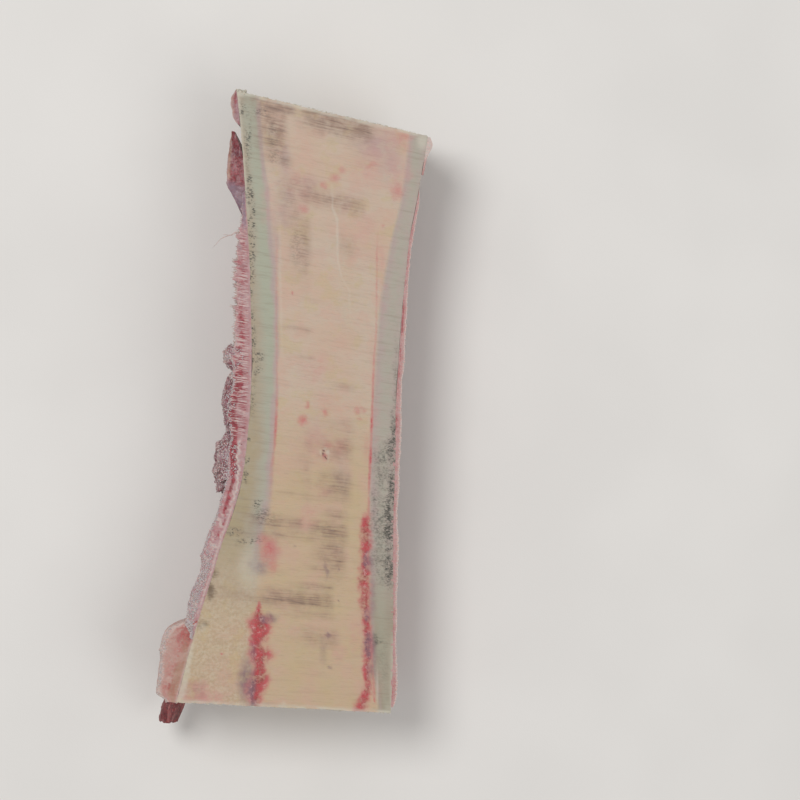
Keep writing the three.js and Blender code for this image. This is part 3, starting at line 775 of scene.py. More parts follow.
def with_dirt_and_pit_highlight(g, n, colour):
    """Bone dust and grime, then stains, pale places with a painted highlight on the pits' rims among them,
    and pits.
    """
    dirt = g.plus(g.ramp(n.dashes, 0.38, 0.62, 0.1, 0.4), g.ramp(n.granular, 0.42, 0.6, 0, 0.35))
    dirt = g.times(g.ramp(g.mask("grime"), 0.05, 1.25), g.ramp(n.blots, 0.36, 0.58, 0.45, 1.15), dirt)
    colour = g.blend(g.times(dirt, 1.15), colour, GRIME)
    dots = g.times(g.ramp(n.dots, 0.74, 0.3), g.ramp(n.blots, 0.43, 0.56))
    colour = g.blend(g.times(dots, g.ramp(g.mask("fleck"), 0, 0.6), 0.9), colour, GRIME)
    stain = g.ramp(g.stirred("stain", (n.dashes, 1.4), (n.mottled, 1)), 0.1, 1.1)
    colour = g.blend(g.times(stain, g.ramp(g.mask("stain"), 0, 0.3), 0.85), colour, STAIN)
    # Pale places, among them a painted highlight on the pits' rims
    colour = g.blend(g.times(g.mask("pale"), 0.8), colour, PALE)
    return g.blend(g.mask("pit"), colour, PIT)


def face_material(name, gloss, soft):
    """The sawn face of bone and marrow: masks say where each colour lies, noise how it breaks up."""
    g = Graph(name)
    n = face_noises(g)
    colour, wet = with_blood(g, n, with_saw_marks(g, n, face_tissues(g, n)))
    colour = with_dirt_and_pit_highlight(g, n, colour)
    roughness = g.plus(g.times(n.mottled, 0.2), gloss)
    roughness = g.math("SUBTRACT", roughness, g.times(wet, 0.15))
    height = g.plus(g.times(n.hairs, 0.5), g.times(n.lines, 0.35))
    grainy = g.times(n.granular, g.plus(g.times(g.mask("sponge"), 1.2), 0.15))
    normal = g.bump(g.plus(height, grainy), 0.06)
    return g.finish(
        colour, roughness, normal,
        Subsurface_Weight=soft, Subsurface_Radius=(1.0, 0.45, 0.3), Subsurface_Scale=0.0012,
    )


def outside_material(name):
    """The bone's outside: a skin of dried membrane with fibres along the bone, blood and scraped places."""
    g = Graph(name)
    broad = g.noise(14, 3, 0.55)
    patches = g.noise(5, 4, 0.6, 0.6)
    fibres = g.noise(1, 3, 0.65, place=g.fibres(1.1, 16))
    fine = g.noise(0.6, 3, 0.6)
    colour = g.blend(g.ramp(fibres, 0.35, 0.65), srgb(166, 144, 132), srgb(182, 164, 148))
    colour = g.blend(g.ramp(broad, 0.5, 0.68, 0, 0.8), colour, srgb(160, 118, 112))
    colour = g.blend(g.ramp(patches, 0.52, 0.66, 0, 0.85), colour, srgb(190, 174, 158))
    streaks = g.times(g.ramp(patches, 0.5, 0.36), g.ramp(fibres, 0.45, 0.62))
    colour = g.blend(g.times(streaks, 0.85), colour, srgb(128, 58, 58))
    colour = g.blend(g.ramp(fine, 0.62, 0.75, 0, 0.4), colour, srgb(112, 62, 60))
    roughness = g.plus(g.times(patches, 0.35), 0.28)
    height = g.plus(g.times(fibres, 0.7), g.plus(g.times(patches, 0.8), g.times(fine, 0.3)))
    normal = g.bump(height, 0.35)
    return g.finish(
        colour, roughness, normal,
        Subsurface_Weight=0.15, Subsurface_Radius=(1.0, 0.4, 0.3), Subsurface_Scale=0.001,
        Coat_Weight=0.12, Coat_Roughness=0.25,
    )


# SILVER_AND_SHADE is the silverskin's purple-grey, made darker so that it also paints the shade on the sinew
# flap's low end
SILVER_AND_SHADE, RIM, TAN = srgb(136, 110, 121), srgb(200, 184, 176), srgb(164, 126, 104)
COMB, COMB_DEEP = srgb(196, 168, 164), srgb(140, 56, 64)


def flesh_material(name, pale, lean, deep, frosty, grain_mm):
    """Meat, fat and gristle: lean, frost, comb and silver masks choose among the colours."""
    g = Graph(name)
    soft = g.noise(3.5, 3, 0.6)
    fine = g.noise(grain_mm, 3, 0.7)
    crumbs = g.cells(0.56)
    combs = g.noise(1, 2, 0.6, place=g.along(3.5, 0.36, 3))
    strings = g.noise(1, 3, 0.7, place=g.fibres(0.8, 11))
    outer = g.mask("outer")
    meat = g.blend(g.ramp(fine, 0.4, 0.58), deep, lean)
    meat = g.blend(g.ramp(soft, 0.5, 0.38, 0, 0.6), meat, deep)
    amount = g.stirred("lean", (fine, 1.4), (soft, 1.4))
    colour = g.blend(g.ramp(amount, 0.15, 0.8), g.blend(g.ramp(soft, 0.3, 0.7, 0, 0.35), pale, lean), meat)
    colour = g.blend(g.times(outer, g.ramp(strings, 0.5, 0.34), 0.6), colour, deep)
    colour = g.blend(g.times(outer, g.ramp(strings, 0.5, 0.66), 0.7), colour, frosty)
    comb = g.mask("comb")
    colour = g.blend(g.times(comb, g.ramp(combs, 0.46, 0.34), 0.75), colour, COMB_DEEP)
    colour = g.blend(g.times(comb, g.ramp(combs, 0.5, 0.62)), colour, COMB)
    rime = g.times(g.mask("frost"), g.ramp(crumbs, 0.6, 0.25, 0.1, 1), g.ramp(soft, 0.3, 0.55, 0.6, 1))
    colour = g.blend(rime, colour, frosty)
    colour = g.blend(g.times(g.mask("tan"), g.ramp(soft, 0.3, 0.6, 0.6, 1)), colour, TAN)
    # Silverskin, in a colour darkened partly to paint shade
    colour = g.blend(g.times(g.mask("silver"), g.ramp(soft, 0.25, 0.6, 0.5, 1)), colour, SILVER_AND_SHADE)
    colour = g.blend(g.times(g.mask("rim"), g.ramp(fine, 0.3, 0.6, 0.7, 1)), colour, RIM)
    roughness = g.plus(g.times(fine, 0.3), g.plus(g.times(g.mask("frost"), 0.2), 0.3))
    height = g.plus(g.times(fine, 0.8), g.plus(g.times(combs, comb, 0.8), g.times(strings, outer, 2)))
    height = g.plus(height, g.times(g.ramp(crumbs, 0.8, 0.1), g.mask("frost"), 0.8))
    normal = g.bump(height, 0.22)
    return g.finish(
        colour, roughness, normal,
        Subsurface_Weight=0.2, Subsurface_Radius=(1.0, 0.3, 0.22), Subsurface_Scale=0.001,
        Coat_Weight=0.1, Coat_Roughness=0.2,
    )


RIME = (204, 188, 186)
# Each flesh: its pale, lean, deep and frosted colours, and the size of its grain in mm
FLESH = {
    "fringe_meat": ((178, 142, 142), (164, 66, 74), (118, 22, 32), (194, 172, 175), 0.55),
    "frozen_scrap": ((142, 102, 110), (134, 58, 68), (84, 30, 44), RIME, 0.6),
    "frost_crumbs": ((204, 186, 186), (190, 156, 160), (172, 128, 134), RIME, 0.4),
    "ligament_pad": ((182, 146, 135), (176, 96, 90), (150, 72, 68), (196, 178, 170), 0.8),
    "muscle_stub": ((146, 76, 76), (132, 44, 46), (78, 18, 24), (172, 114, 110), 0.7),
    "sinew_flap": ((160, 126, 128), (150, 70, 76), (108, 28, 36), RIME, 0.7),
    "right_membrane": ((186, 148, 144), (168, 92, 92), (138, 58, 62), (196, 180, 172), 0.5),
    "dried_meat": ((158, 118, 112), (132, 62, 60), (92, 34, 36), (170, 140, 136), 0.7),
    "dried_sinew": ((178, 156, 150), (158, 100, 98), (130, 66, 68), RIME, 0.6),
}
bone_face = face_material("bone_sawn_face", 0.42, 0.05)
sponge_face = face_material("spongy_bone_sawn_face", 0.45, 0.1)
marrow_face = face_material("marrow_sawn_face", 0.3, 0.25)
bone_outside = outside_material("bone_outside")
flesh = {}
for flesh_name, (*flesh_colours, flesh_grain) in FLESH.items():
    flesh[flesh_name] = flesh_material(flesh_name, *(srgb(*c) for c in flesh_colours), flesh_grain)


# Bone, spongy bone and marrow
STATIONS = np.linspace(0, 1, 403)
AROUND, THROUGH_WALL = 73, 21  # points round a section of the wall, and through it
SPONGY_AROUND, SPONGY_THROUGH = 46, 50
MARROW_ACROSS, MARROW_DOWN = 85, 15
LAST_THROUGH = 5  # of a lattice's six sides, the last along its third axis


def section_curves(share):
    """The bone wall's inner and outer outline at one share, evenly spaced: (across, depth) points."""
    hub, _, hollow = section(share)
    x, depth = on_bone(share, ARC, 0)
    outer = resampled(x, np.minimum(depth, FACE_HEIGHT), AROUND)
    inner = resampled(hub + hollow * np.cos(ARC), hollow * np.sin(ARC), AROUND)
    return stacked(*inner), stacked(*outer)


def on_ends(skin, masks, **values):
    """Sets masks on the end faces, where what shows is what the piece is made of."""
    below = ((skin.i == 0) | (skin.i == 1)) * smooth(skin.depth, 0.3, 1.6)
    for name in ("wall", "sponge", "green", "olive", "lilac"):
        masks[name] = masks[name] * (1 - below) + values.get(name, 0) * below


def sawn(skin, on_face, on_wide_end, on_narrow_end):
    """Gives a skin's sawn faces their relief, and returns their masks."""
    masks = face_masks(skin.share, skin.x, skin.depth)
    lift = face_relief(skin.share, skin.x, skin.points[:, 1], masks["sponge"], masks["blood"])
    skin.move(z=lift * on_face)
    across = stacked(skin.x, skin.depth, 0.0)
    end = 0.05 * grain(across, (30, 1.4, 1), 31) + masks["sponge"] * 0.18 * rough(across, 1.1, 32, 2)
    end = end + 0.12 * rough(across, 1.6, 33, 2) * np.exp(-skin.depth / 0.8) + 0.12 * rough(across, 6, 34)
    skin.move(y=-end * on_wide_end)
    skin.move(y=end * on_narrow_end)
    return masks


def bone_wall():
    """The wall of compact bone, a trough open upwards, with its dried outside."""
    inner, outer = (np.array(c)[:, :, None, :] for c in zip(*(section_curves(s) for s in STATIONS)))
    t = np.linspace(0, 1, THROUGH_WALL)[None, None, :, None]
    lattice = inner * (1 - t) + outer * t
    wider = 0.6 * smooth(lattice[..., 0], 12, 22) * np.exp(-lattice[..., 1] / 4) * t[..., 0] ** 3
    lattice[..., 0] += wider * fade(STATIONS, 0.01, 0.55, 0.12)[:, None, None]
    skin = Skin(STATIONS[:, None, None], lattice[..., 0], lattice[..., 1])
    on_face = (skin.j == 0) | (skin.j == 1)
    masks = sawn(skin, on_face, skin.i == 0, skin.i == 1)
    skin.move(z=0.12 * rough(skin.points, 0.8, 41, 2) * (skin.k == 1) * on_face)
    middle = (LEFT_EDGE(skin.share) + RIGHT_EDGE(skin.share)) / 2
    out = stacked(skin.x - middle, 6 - skin.depth)
    out = out / np.linalg.norm(out, axis=1, keepdims=True)
    swollen = 0.25 * rough(skin.points, (5, 14, 5), 42) + 0.08 * rough(skin.points, (0.9, 2.5, 0.9), 43)
    swollen = np.minimum(swollen, 0.25) * (skin.k == 1) * smooth(skin.points[:, 2], 0.3, 2)
    skin.move(x=out[:, 0] * swollen, z=out[:, 1] * swollen * (~on_face))
    rim = np.exp(-(1 - skin.k) * 9) * on_face
    masks["pale"] = np.maximum(masks["pale"], 0.6 * rim * (1 - smooth(skin.share, 0.11, 0.15)))
    on_ends(skin, masks, wall=1, green=0.25 + 0.2 * rough(skin.points, 5, 44))
    materials = [bone_face, bone_outside]
    piece = make_piece("bone_wall", skin.points, skin.faces, materials, skin.sides == LAST_THROUGH, masks)
    rides(piece, "compact_bone", "compact_bone")


def spongy_bone():
    """The wedge of spongy bone between the wall and the marrow, at the wide end."""
    shares = STATIONS[STATIONS <= SPONGY_END]
    turn = np.linspace(0.25, np.pi, SPONGY_AROUND)
    hub, cavity, hollow = (np.array(c) for c in zip(*(section(s, turn) for s in shares)))
    t = np.linspace(0, 1, SPONGY_THROUGH)
    distance = cavity[:, :, None] * (1 - t) + hollow[:, :, None] * t
    x = hub[:, None, None] + distance * np.cos(turn)[None, :, None]
    skin = Skin(shares[:, None, None], x, distance * np.sin(turn)[None, :, None])
    masks = sawn(skin, skin.j == 1, skin.i == 0, 0)
    on_ends(skin, masks, sponge=1)
    add_skin("spongy_bone_cut", skin, sponge_face, masks, "spongy_bone", "spongy_bone")


def marrow():
    """The marrow that fills the hollow from end to end."""
    share = STATIONS[:, None, None]
    place = np.linspace(-1, 1, MARROW_ACROSS)[None, :, None]
    left, right = CAVITY_LEFT(share), CAVITY_RIGHT(share)
    middle, half = (left + right) / 2, (right - left) / 2
    turn = (1 - place) * np.pi / 2
    t = np.linspace(0, 1, MARROW_DOWN)[None, None, :]
    x = middle + half * (place * (1 - t) + np.cos(turn) * t)
    deep = (DEPTH(share) - BACK_WALL(share)) * np.maximum(np.sin(turn), 0) ** BACK_SQUARENESS
    deep = deep * (np.abs(place) < 1)
    skin = Skin(share, x, deep * t)
    masks = sawn(skin, skin.k == 0, skin.i == 0, skin.i == 1)
    on_ends(skin, masks, lilac=0.4 * smooth(skin.k, 0.85, 1))
    at_end = (skin.i == 0) | (skin.i == 1)
    masks["pink"] = np.maximum(masks["pink"], at_end * (0.3 + 0.5 * rough(skin.points, 8, 45)))
    masks["yellow"] = np.maximum(masks["yellow"], at_end * (0.4 + 0.6 * rough(skin.points, 10, 46)))
    add_skin("marrow_fill", skin, marrow_face, masks, "marrow", "marrow")


# Meat, fat, gristle and membrane on the outside
def value_at(value, *place):
    """A function's value at a place, or the number itself."""
    return value(*place) if callable(value) else value


def tissue(shares, low, high, inner, outer, counts, ragged=0.0):
    """A layer on the bone. low and high are its sides as shares of a half turn, inner and outer its lifts,
    and each is a number or a function. ragged is how far its two ends wander in mm."""
    share = np.linspace(*shares, counts[0])[:, None, None]
    t = np.linspace(0, 1, counts[2])[None, None, :]
    side = np.linspace(0, 1, counts[1])[None, :, None]
    angle = np.pi * (value_at(low, share) * (1 - side) + value_at(high, share) * side)
    ends = np.abs(np.linspace(-1, 1, counts[0]))[:, None, None] ** 12
    wander = line_noise(angle * 28, 5, 151) + 0.5 * line_noise(angle * 28, 1.6, 152)
    share = share + ends * ragged * wander / LENGTH
    lift = value_at(inner, share, angle) * (1 - t) + outer(share, angle) * t
    x, depth = on_bone(share, angle, lift)
    return Skin(share, x, np.maximum(depth, 0))


def unrolled(share, angle, half_turn):
    """Places for noise on the bone's outside, with an angle taken as so many mm."""
    return stacked(share * LENGTH, half_turn * angle, 0.0)


def layered(skin, along, through_layer):
    """Places for noise in a layer: along the bone, through the layer and below the face."""
    return stacked(skin.share * LENGTH * along, through_layer * skin.k, skin.depth)


def peak(value, middle, width):
    """1 at the middle, and a bell's fall to either side."""
    return np.exp(-(((value - middle) / width) ** 2))


def from_edge(share, angle, margin):
    """0 at the sawn face and 1 from a margin in mm below it, for a layer's rounded upper corner."""
    depth = DEPTH(share) * np.maximum(np.sin(angle), 0) ** BACK_SQUARENESS
    return smooth(depth / margin)


def flesh_masks(skin, **given):
    """Every mask that a flesh material reads, at zero unless given."""
    masks = {name: np.zeros(len(skin.points)) for name in ("lean", "frost", "comb", "silver", "rim")}
    masks.update(given, stroke=skin.share * LENGTH, outer=0.7 * smooth(skin.depth, 1, 4))
    for name in ("lean", "frost", "silver"):
        masks[name] = np.clip(masks[name], 0, 1)
    return masks


FROSTED = {}


def keep_frost(skin, frost, name):
    """Keeps where a piece is frosted, for the loose grains of frost on it."""
    chance = np.clip(frost, 0, 1) ** 2
    FROSTED[name] = (skin.points, chance / chance.sum())


FRINGE_THICKNESS = through(
    (0.09, 3), (0.115, 3.8), (0.14, 4.7), (0.2, 5), (0.25, 5.3), (0.3, 4.6), (0.38, 5.4), (0.48, 6.1),
    (0.6, 5.4), (0.7, 4.3), (0.76, 3.6), (0.8, 2.1), (0.85, 1),
)
FRINGE_LOW_SIDE = through((0.14, 0.67), (0.3, 0.61), (0.5, 0.57), (0.7, 0.58), (0.84, 0.63))
FRINGE_SHARES = (0.1, 0.84)
# The dark red core of the fringe, by place along: its middle and half width are shares of the thickness
CORE_MIDDLE = through(
    (-60, 0.25), (-46, 0.3), (-34, 0.42), (-21, 0.58), (-10, 0.78), (7, 0.7), (20, 0.62), (50, 0.6)
)
CORE_HALF = through(
    (-60, 0.1), (-46, 0.14), (-34, 0.22), (-21, 0.25), (-10, 0.32), (7, 0.3), (20, 0.27), (50, 0.3)
)
CORE_STRENGTH = through(
    (-66, 0.2), (-46, 0.5), (-36, 0.75), (-24, 1), (-10, 1.1), (8, 1.1), (18, 0.7), (30, 0.5), (56, 0.3)
)


def fringe_low(share):
    """The fringe's ragged lower side, as a share of a half turn."""
    stroke = share * LENGTH
    tongues = 0.03 * bumps(share, 0, 11) + 0.02 * line_noise(stroke, 7, 51)
    return FRINGE_LOW_SIDE(share) + (tongues + 0.012 * line_noise(stroke, 2, 52))


def fringe_lift(share, angle):
    """How far the fringe's outside stands off the bone."""
    body = FRINGE_THICKNESS(share) * (0.3 + 0.7 * smooth(angle, 0.58 * np.pi, 0.95 * np.pi))
    body = body * (0.45 + 0.55 * smooth(share, 0.1, 0.135))
    lift = body * (1 + 0.16 * bumps(share, angle, 1))
    place = unrolled(share, angle, 11)
    lift = lift + 0.5 * rough(place, 4, 53) + 0.22 * rough(place, 1.1, 54, 2)
    spikes = np.maximum(line_noise(share * LENGTH, 0.9, 55), 0) ** 1.5 * fade(share, 0.44, 0.8, 0.03)
    lift = lift + (1.5 * spikes - 0.4) * smooth(angle, 0.9 * np.pi, 0.985 * np.pi)
    edge = fade(share, *FRINGE_SHARES, 0.006)
    below = smooth((angle / np.pi - fringe_low(share)) / 0.05)
    return np.maximum(lift * np.sqrt(edge * below), 0.08)


def fringe_lean(skin, place, on_face):
    """Where the fringe is dark red: along its core, and granular towards the wide end."""
    y, layer = skin.points[:, 1], skin.k
    middle, half = CORE_MIDDLE(y), CORE_HALF(y)
    drift = 0.12 * rough(place, 5, 56)
    core = np.clip(CORE_STRENGTH(y), 0, 1.1) * fade(layer + drift, middle - half, middle + half, 0.2)
    granular = 0.7 * (1 - smooth(y, -36, -14)) * rough(skin.points, 0.8, 62)
    core = core * (0.85 + 0.5 * rough(place, 2.4, 61) + granular)
    lean = np.where(on_face, core, 0.55 + 0.4 * rough(place, 6, 57))
    lean = np.where(layer < 0.12, lean * layer / 0.12 + 0.25 * (y < -30), lean)
    lean = np.maximum(lean, 0.3 * (1 - smooth(y, -50, -36)) * smooth(layer, 0.3, 0.5))
    return np.where(on_face & (y < -30), lean * (0.7 + 0.8 * grain(skin.points, 0.8, 67)), lean)


def meat_fringe():
    """The combed layer of meat along the left edge."""
    skin = tissue(FRINGE_SHARES, fringe_low, 1, -0.03, fringe_lift, (620, 36, 15), 2.5)
    y, layer = skin.points[:, 1], skin.k
    on_face = skin.j == 1
    place = layered(skin, 1, 6)
    stroke = skin.share * LENGTH
    lean = fringe_lean(skin, place, on_face)
    frost = smooth(layer, 0.84, 0.97) * (1 - smooth(y, 10, 25))
    frost = frost + 0.85 * (1 - smooth(y, -50, -36)) * smooth(layer, 0.2, 0.5)
    frost = frost * (0.4 + 0.6 * np.exp(-skin.depth / 5))
    comb = fade(y, -12, 56, 6) * (0.3 + 0.7 * np.exp(-skin.depth / 2.5)) * (1 - smooth(layer, 0.93, 1))
    comb = comb * smooth(layer, 0.1, 0.25) * (1 + 0.5 * fade(y, -12, 18, 5))
    silver = 0.5 * smooth(rough(place, 9, 58), 0.1, 0.5) * smooth(skin.depth, 2, 6)
    silver = silver + fade(y + 6 * rough(skin.points, 6, 65), 50, 80, 5) * smooth(layer, 0.15, 0.4)
    teeth_at = 0.24 + 0.22 * smooth(y, -27, -12) - 0.2 * line_noise(stroke, 0.6, 63)
    teeth = fade(y, -31, -9, 3) * peak(layer, teeth_at, 0.08)
    thin = fade(y, -62, -28, 3) * peak(layer, 0.17, 0.06)
    edge = 0.5 * smooth(layer, 0.88, 1) * np.exp(-skin.depth / 0.8) * smooth(y, 0, 20)
    beaded = smooth(grain(skin.points, 0.75, 64), 0.05, 0.5) * (1 - smooth(y, -34, -18))
    beaded = beaded * smooth(layer, 0.05, 0.2)
    rim = np.maximum.reduce([edge, 0.35 * np.exp(-layer * 14), teeth, 0.8 * thin]) * on_face
    rim = np.maximum(rim, 0.75 * beaded)
    height = 0.1 * line_noise(stroke, 0.55, 59) * comb + 0.12 * rough(skin.points, 0.6, 60, 2) + 0.15 * teeth
    skin.move(z=height * on_face - 0.08 * on_face)
    masks = flesh_masks(skin, lean=lean, frost=frost, comb=comb, silver=silver, rim=rim)
    keep_frost(skin, frost * (0.2 + 0.8 * on_face), "fringe")
    add_skin("meat_fringe_layer", skin, flesh["fringe_meat"], masks, "meat", "meat_fringe")


def ball(count):
    """A lattice whose outside is a unit sphere: three arrays."""
    run = np.linspace(-1, 1, count)
    a, b, c = np.meshgrid(run, run, run, indexing="ij")
    size = np.max(np.abs(np.stack([a, b, c])), axis=0)
    a, b, c = (np.tan(v * np.pi / 4) for v in (a, b, c))
    norm = np.sqrt(a * a + b * b + c * c)
    return tuple(v * size / np.maximum(norm, 1e-9) for v in (a, b, c))


# Each scrap's share, angle as a share of a half turn, lift, radii as share, angle and mm, and seed
SCRAPS = (
    (0.565, 0.965, 5.2, (0.021, 0.05, 3.6), 2),
    (0.49, 0.935, 6, (0.05, 0.07, 2.9), 3),
    (0.395, 0.935, 4.6, (0.055, 0.08, 5), 4),
)


def fat_scraps():
    """The frosted scraps that stick out of the fringe."""
    a, b, c = ball(46)
    for number, (share, angle, lift, radii, seed) in enumerate(SCRAPS, 1):
        place = stacked(a * radii[0] * LENGTH, b * radii[1] * 60, c * radii[2])
        uneven = 1 + 0.12 * bumps(0.3 * a + 0.1 * c, 0.7 * b, seed) + 0.16 * rough(place, 2.6, 70 + seed)
        at = share + radii[0] * a * uneven
        turn = np.pi * np.minimum(angle + radii[1] * b * uneven, 1)
        x, depth = on_bone(at, turn, lift + radii[2] * c * uneven)
        skin = Skin(at, x, np.maximum(depth, 0))
        out = skin.points - skin.points.mean(0)
        out = out / np.linalg.norm(out, axis=1, keepdims=True)
        crumbs = 1 - np.abs(grain(skin.points, 0.8, 74 + seed))
        crumbs = 0.3 * crumbs**2 + 0.12 * rough(skin.points, 0.5, 78 + seed, 2) - 0.15
        skin.move(*(out * crumbs[:, None]).T)
        skin.points[:, 2] = np.minimum(skin.points[:, 2], FACE_HEIGHT - 0.1)
        rim = smooth(-out[:, 0], 0.3, 0.95) * smooth(skin.points[:, 2], FACE_HEIGHT - 5, FACE_HEIGHT - 1)
        lean = 0.5 + 0.9 * rough(skin.points, 1.6, 82 + seed)
        frost = np.clip(0.5 + 0.5 * rough(skin.points, 2.2, 86 + seed) + rim, 0, 1)
        keep_frost(skin, 0.35 + frost, f"scrap_{number}")
        masks = flesh_masks(skin, lean=lean, frost=frost, rim=0.6 * rim)
        node = f"fat_scrap_{number}"
        add_skin(node + "_crumbs", skin, flesh["frozen_scrap"], masks, "fat", node)


PAD_THICKNESS = through((0, 6.2), (0.05, 7.8), (0.095, 9), (0.12, 8.5), (0.138, 5.6))
PAD_SHARES = (-0.001, 0.139)


def pad_low(share):
    """The pad's lower side, as a share of a half turn."""
    return 0.865 + 0.012 * line_noise(share * LENGTH, 6, 88)


def pad_lift(share, angle):
    """How far the pad's outside stands off the bone."""
    lift = PAD_THICKNESS(share) * (0.5 + 0.5 * fade(angle, 0.82 * np.pi, 1.2 * np.pi, 0.3))
    place = unrolled(share, angle, 14)
    lift = lift * (1 + 0.04 * bumps(share, angle, 9)) + 0.3 * rough(place, 4, 91)
    lift = lift + 0.12 * rough(place, 1, 92, 2)
    corner = 0.55 + 0.45 * smooth(share, 0.0, 0.012)
    corner = corner * np.sqrt(np.maximum(smooth(0.14 - share, 0, 0.03), 0.02))
    below = np.sqrt(smooth(angle / np.pi, 0.862, 0.89))
    return np.maximum(lift * corner * below - 0.5 * (1 - from_edge(share, angle, 1.2)), 0.1)


def ligament_pad():
    """The pink pad at the wide end's left corner."""
    skin = tissue(PAD_SHARES, pad_low, 1, -0.03, pad_lift, (110, 40, 30))
    on_face = skin.j == 1
    place = layered(skin, 0.7, 6)
    drift = 0.25 * rough(place, 5, 93)
    lean = 0.5 * peak(skin.k + drift, 0.2, 0.25) * smooth(skin.share, 0.03, 0.11)
    upper = 0.55 * smooth(skin.share, 0.07, 0.125) * smooth(rough(place, 3.5, 98), -0.4, 0.4)
    lean = lean + upper * (skin.k < 0.9)
    lean = lean + 0.6 * smooth(rough(place, 2.4, 94), -0.1, 0.5) * fade(skin.k, 0.05, 0.85, 0.25)
    lean = (lean + 0.12) * (0.8 + 0.5 * rough(place, 1.1, 89))
    lean = np.where(skin.depth > 0.8, np.maximum(lean, 0.4 + 0.5 * rough(place, 5, 95)), lean)
    frost = smooth(skin.k, 0.7, 0.98) * np.exp(-skin.depth / 3)
    frost = frost + 0.6 * (1 - smooth(skin.share, 0.0, 0.02)) * smooth(skin.k, 0.4, 1)
    skin.move(z=on_face * (0.1 * rough(skin.points, 1.2, 96) - 0.12 - 0.35 * skin.k**3))
    skin.move(y=-0.3 * (skin.i == 0) * rough(skin.points, 1.6, 97))
    seam = peak(skin.k, 0.02, 0.05) * (0.5 + 0.3 * rough(place, 2, 99))
    rim = 0.8 * smooth(skin.k + 0.1 * rough(place, 1.5, 90), 0.74, 1)
    rim = np.clip(rim + seam, 0, 1) * np.exp(-skin.depth / 2)
    keep_frost(skin, smooth(skin.k, 0.8, 1) * np.exp(-skin.depth * 2) + 0.001, "pad")
    tan = fade(skin.k + drift, 0.0, 0.42, 0.14) * (1 - smooth(skin.share, 0.07, 0.12)) * on_face
    masks = flesh_masks(skin, lean=lean, frost=frost, rim=rim, tan=0.8 * tan)
    add_skin("ligament_pad_layer", skin, flesh["ligament_pad"], masks, "ligament", "ligament_pad")


STUB_SHARES = (-0.049, 0.1)
STUB_THICKNESS = through((-0.049, 6), (0.03, 7), (0.1, 2.2))
STUB_HANG = through((-0.049, 4.2), (-0.01, 2.4), (0.03, 0.3), (0.1, 0.3))


def stub_low(share):
    """The stub's lower side, as a share of a half turn."""
    return 0.828 + 0.008 * line_noise(share * LENGTH, 3, 102)


def stub_high(share):
    """The stub's upper side, as a share of a half turn."""
    return 0.864 + 0.006 * line_noise(share * LENGTH, 3, 103)


def stub_inner(share, angle):
    """How far the stub's inside stands off the bone."""
    return np.maximum(STUB_HANG(share), 0.0) + 0 * angle


def stub_outer(share, angle):
    """How far the stub's outside stands off the bone."""
    crown = fade(angle, 0.8 * np.pi, 0.882 * np.pi, 0.12)
    lift = np.maximum(STUB_HANG(share), 0) + 1 + (STUB_THICKNESS(share) - 1) * (0.4 + 0.6 * crown)
    ragged = 0.45 * rough(unrolled(share, angle, 20), 2.2, 101)
    return lift + ragged - (1 - smooth(share, STUB_SHARES[0], -0.041)) * 0.8


def muscle_stub():
    """The dark red end of muscle under the pad."""
    skin = tissue(STUB_SHARES, stub_low, stub_high, stub_inner, stub_outer, (80, 40, 20))
    ragged = 0.5 * rough(stacked(skin.x, skin.depth, 0.0), 1.3, 104)
    skin.move(y=ragged * (skin.i == 0))
    crumbs = 0.22 * rough(skin.points, 0.9, 105, 2) * (skin.k == 1)
    skin.move(x=-crumbs, z=crumbs * 0.5)
    lean = 0.85 + 0.35 * rough(skin.points, 2.5, 106)
    frost = 0.3 * smooth(rough(skin.points, 1.5, 107), 0, 0.6) + 0.2 * (skin.i == 0)
    masks = flesh_masks(skin, lean=lean, frost=frost)
    add_skin("muscle_stub_end", skin, flesh["muscle_stub"], masks, "muscle", "muscle_stub")


FLAP_WIDTH = through(
    (0.79, 1.2), (0.812, 2.8), (0.83, 4.4), (0.843, 5.8), (0.86, 5.5), (0.88, 5),
    (0.9, 4.5), (0.92, 3.8), (0.935, 3),
)
FLAP_GAP = through((0.79, 0), (0.84, 0), (0.885, 0), (0.91, 0.8), (0.935, 2.4))
FLAP_SHARES = (0.79, 0.935)


def flap_low(share):
    """The flap's lower side, as a share of a half turn."""
    stroke = share * LENGTH
    low = 0.85 + 0.1 * smooth(share, 0.865, 0.94)
    return low + 0.022 * line_noise(stroke, 5, 112) + 0.008 * line_noise(stroke, 1.3, 117)


def flap_high(share):
    """The flap's upper side, as a share of a half turn."""
    return 0.985 - 0.02 * smooth(share, 0.86, 0.935) + 0.004 * line_noise(share * LENGTH, 2.4, 113)


def flap_inner(share, angle):
    """How far the flap's inside stands off the bone."""
    return FLAP_GAP(share) + 0 * angle - 0.02


def flap_outer(share, angle):
    """How far the flap's outside stands off the bone."""
    width = FLAP_WIDTH(share) * (0.35 + 0.65 * smooth(angle / np.pi, 0.86, 0.945))
    width = width + 0.25 * rough(unrolled(share, angle, 14), 1.6, 111)
    width = width * np.sqrt(smooth(angle / np.pi, 0.85, 0.885))
    return np.maximum(width - 0.3 * (1 - from_edge(share, angle, 3)), FLAP_GAP(share) + 0.12)


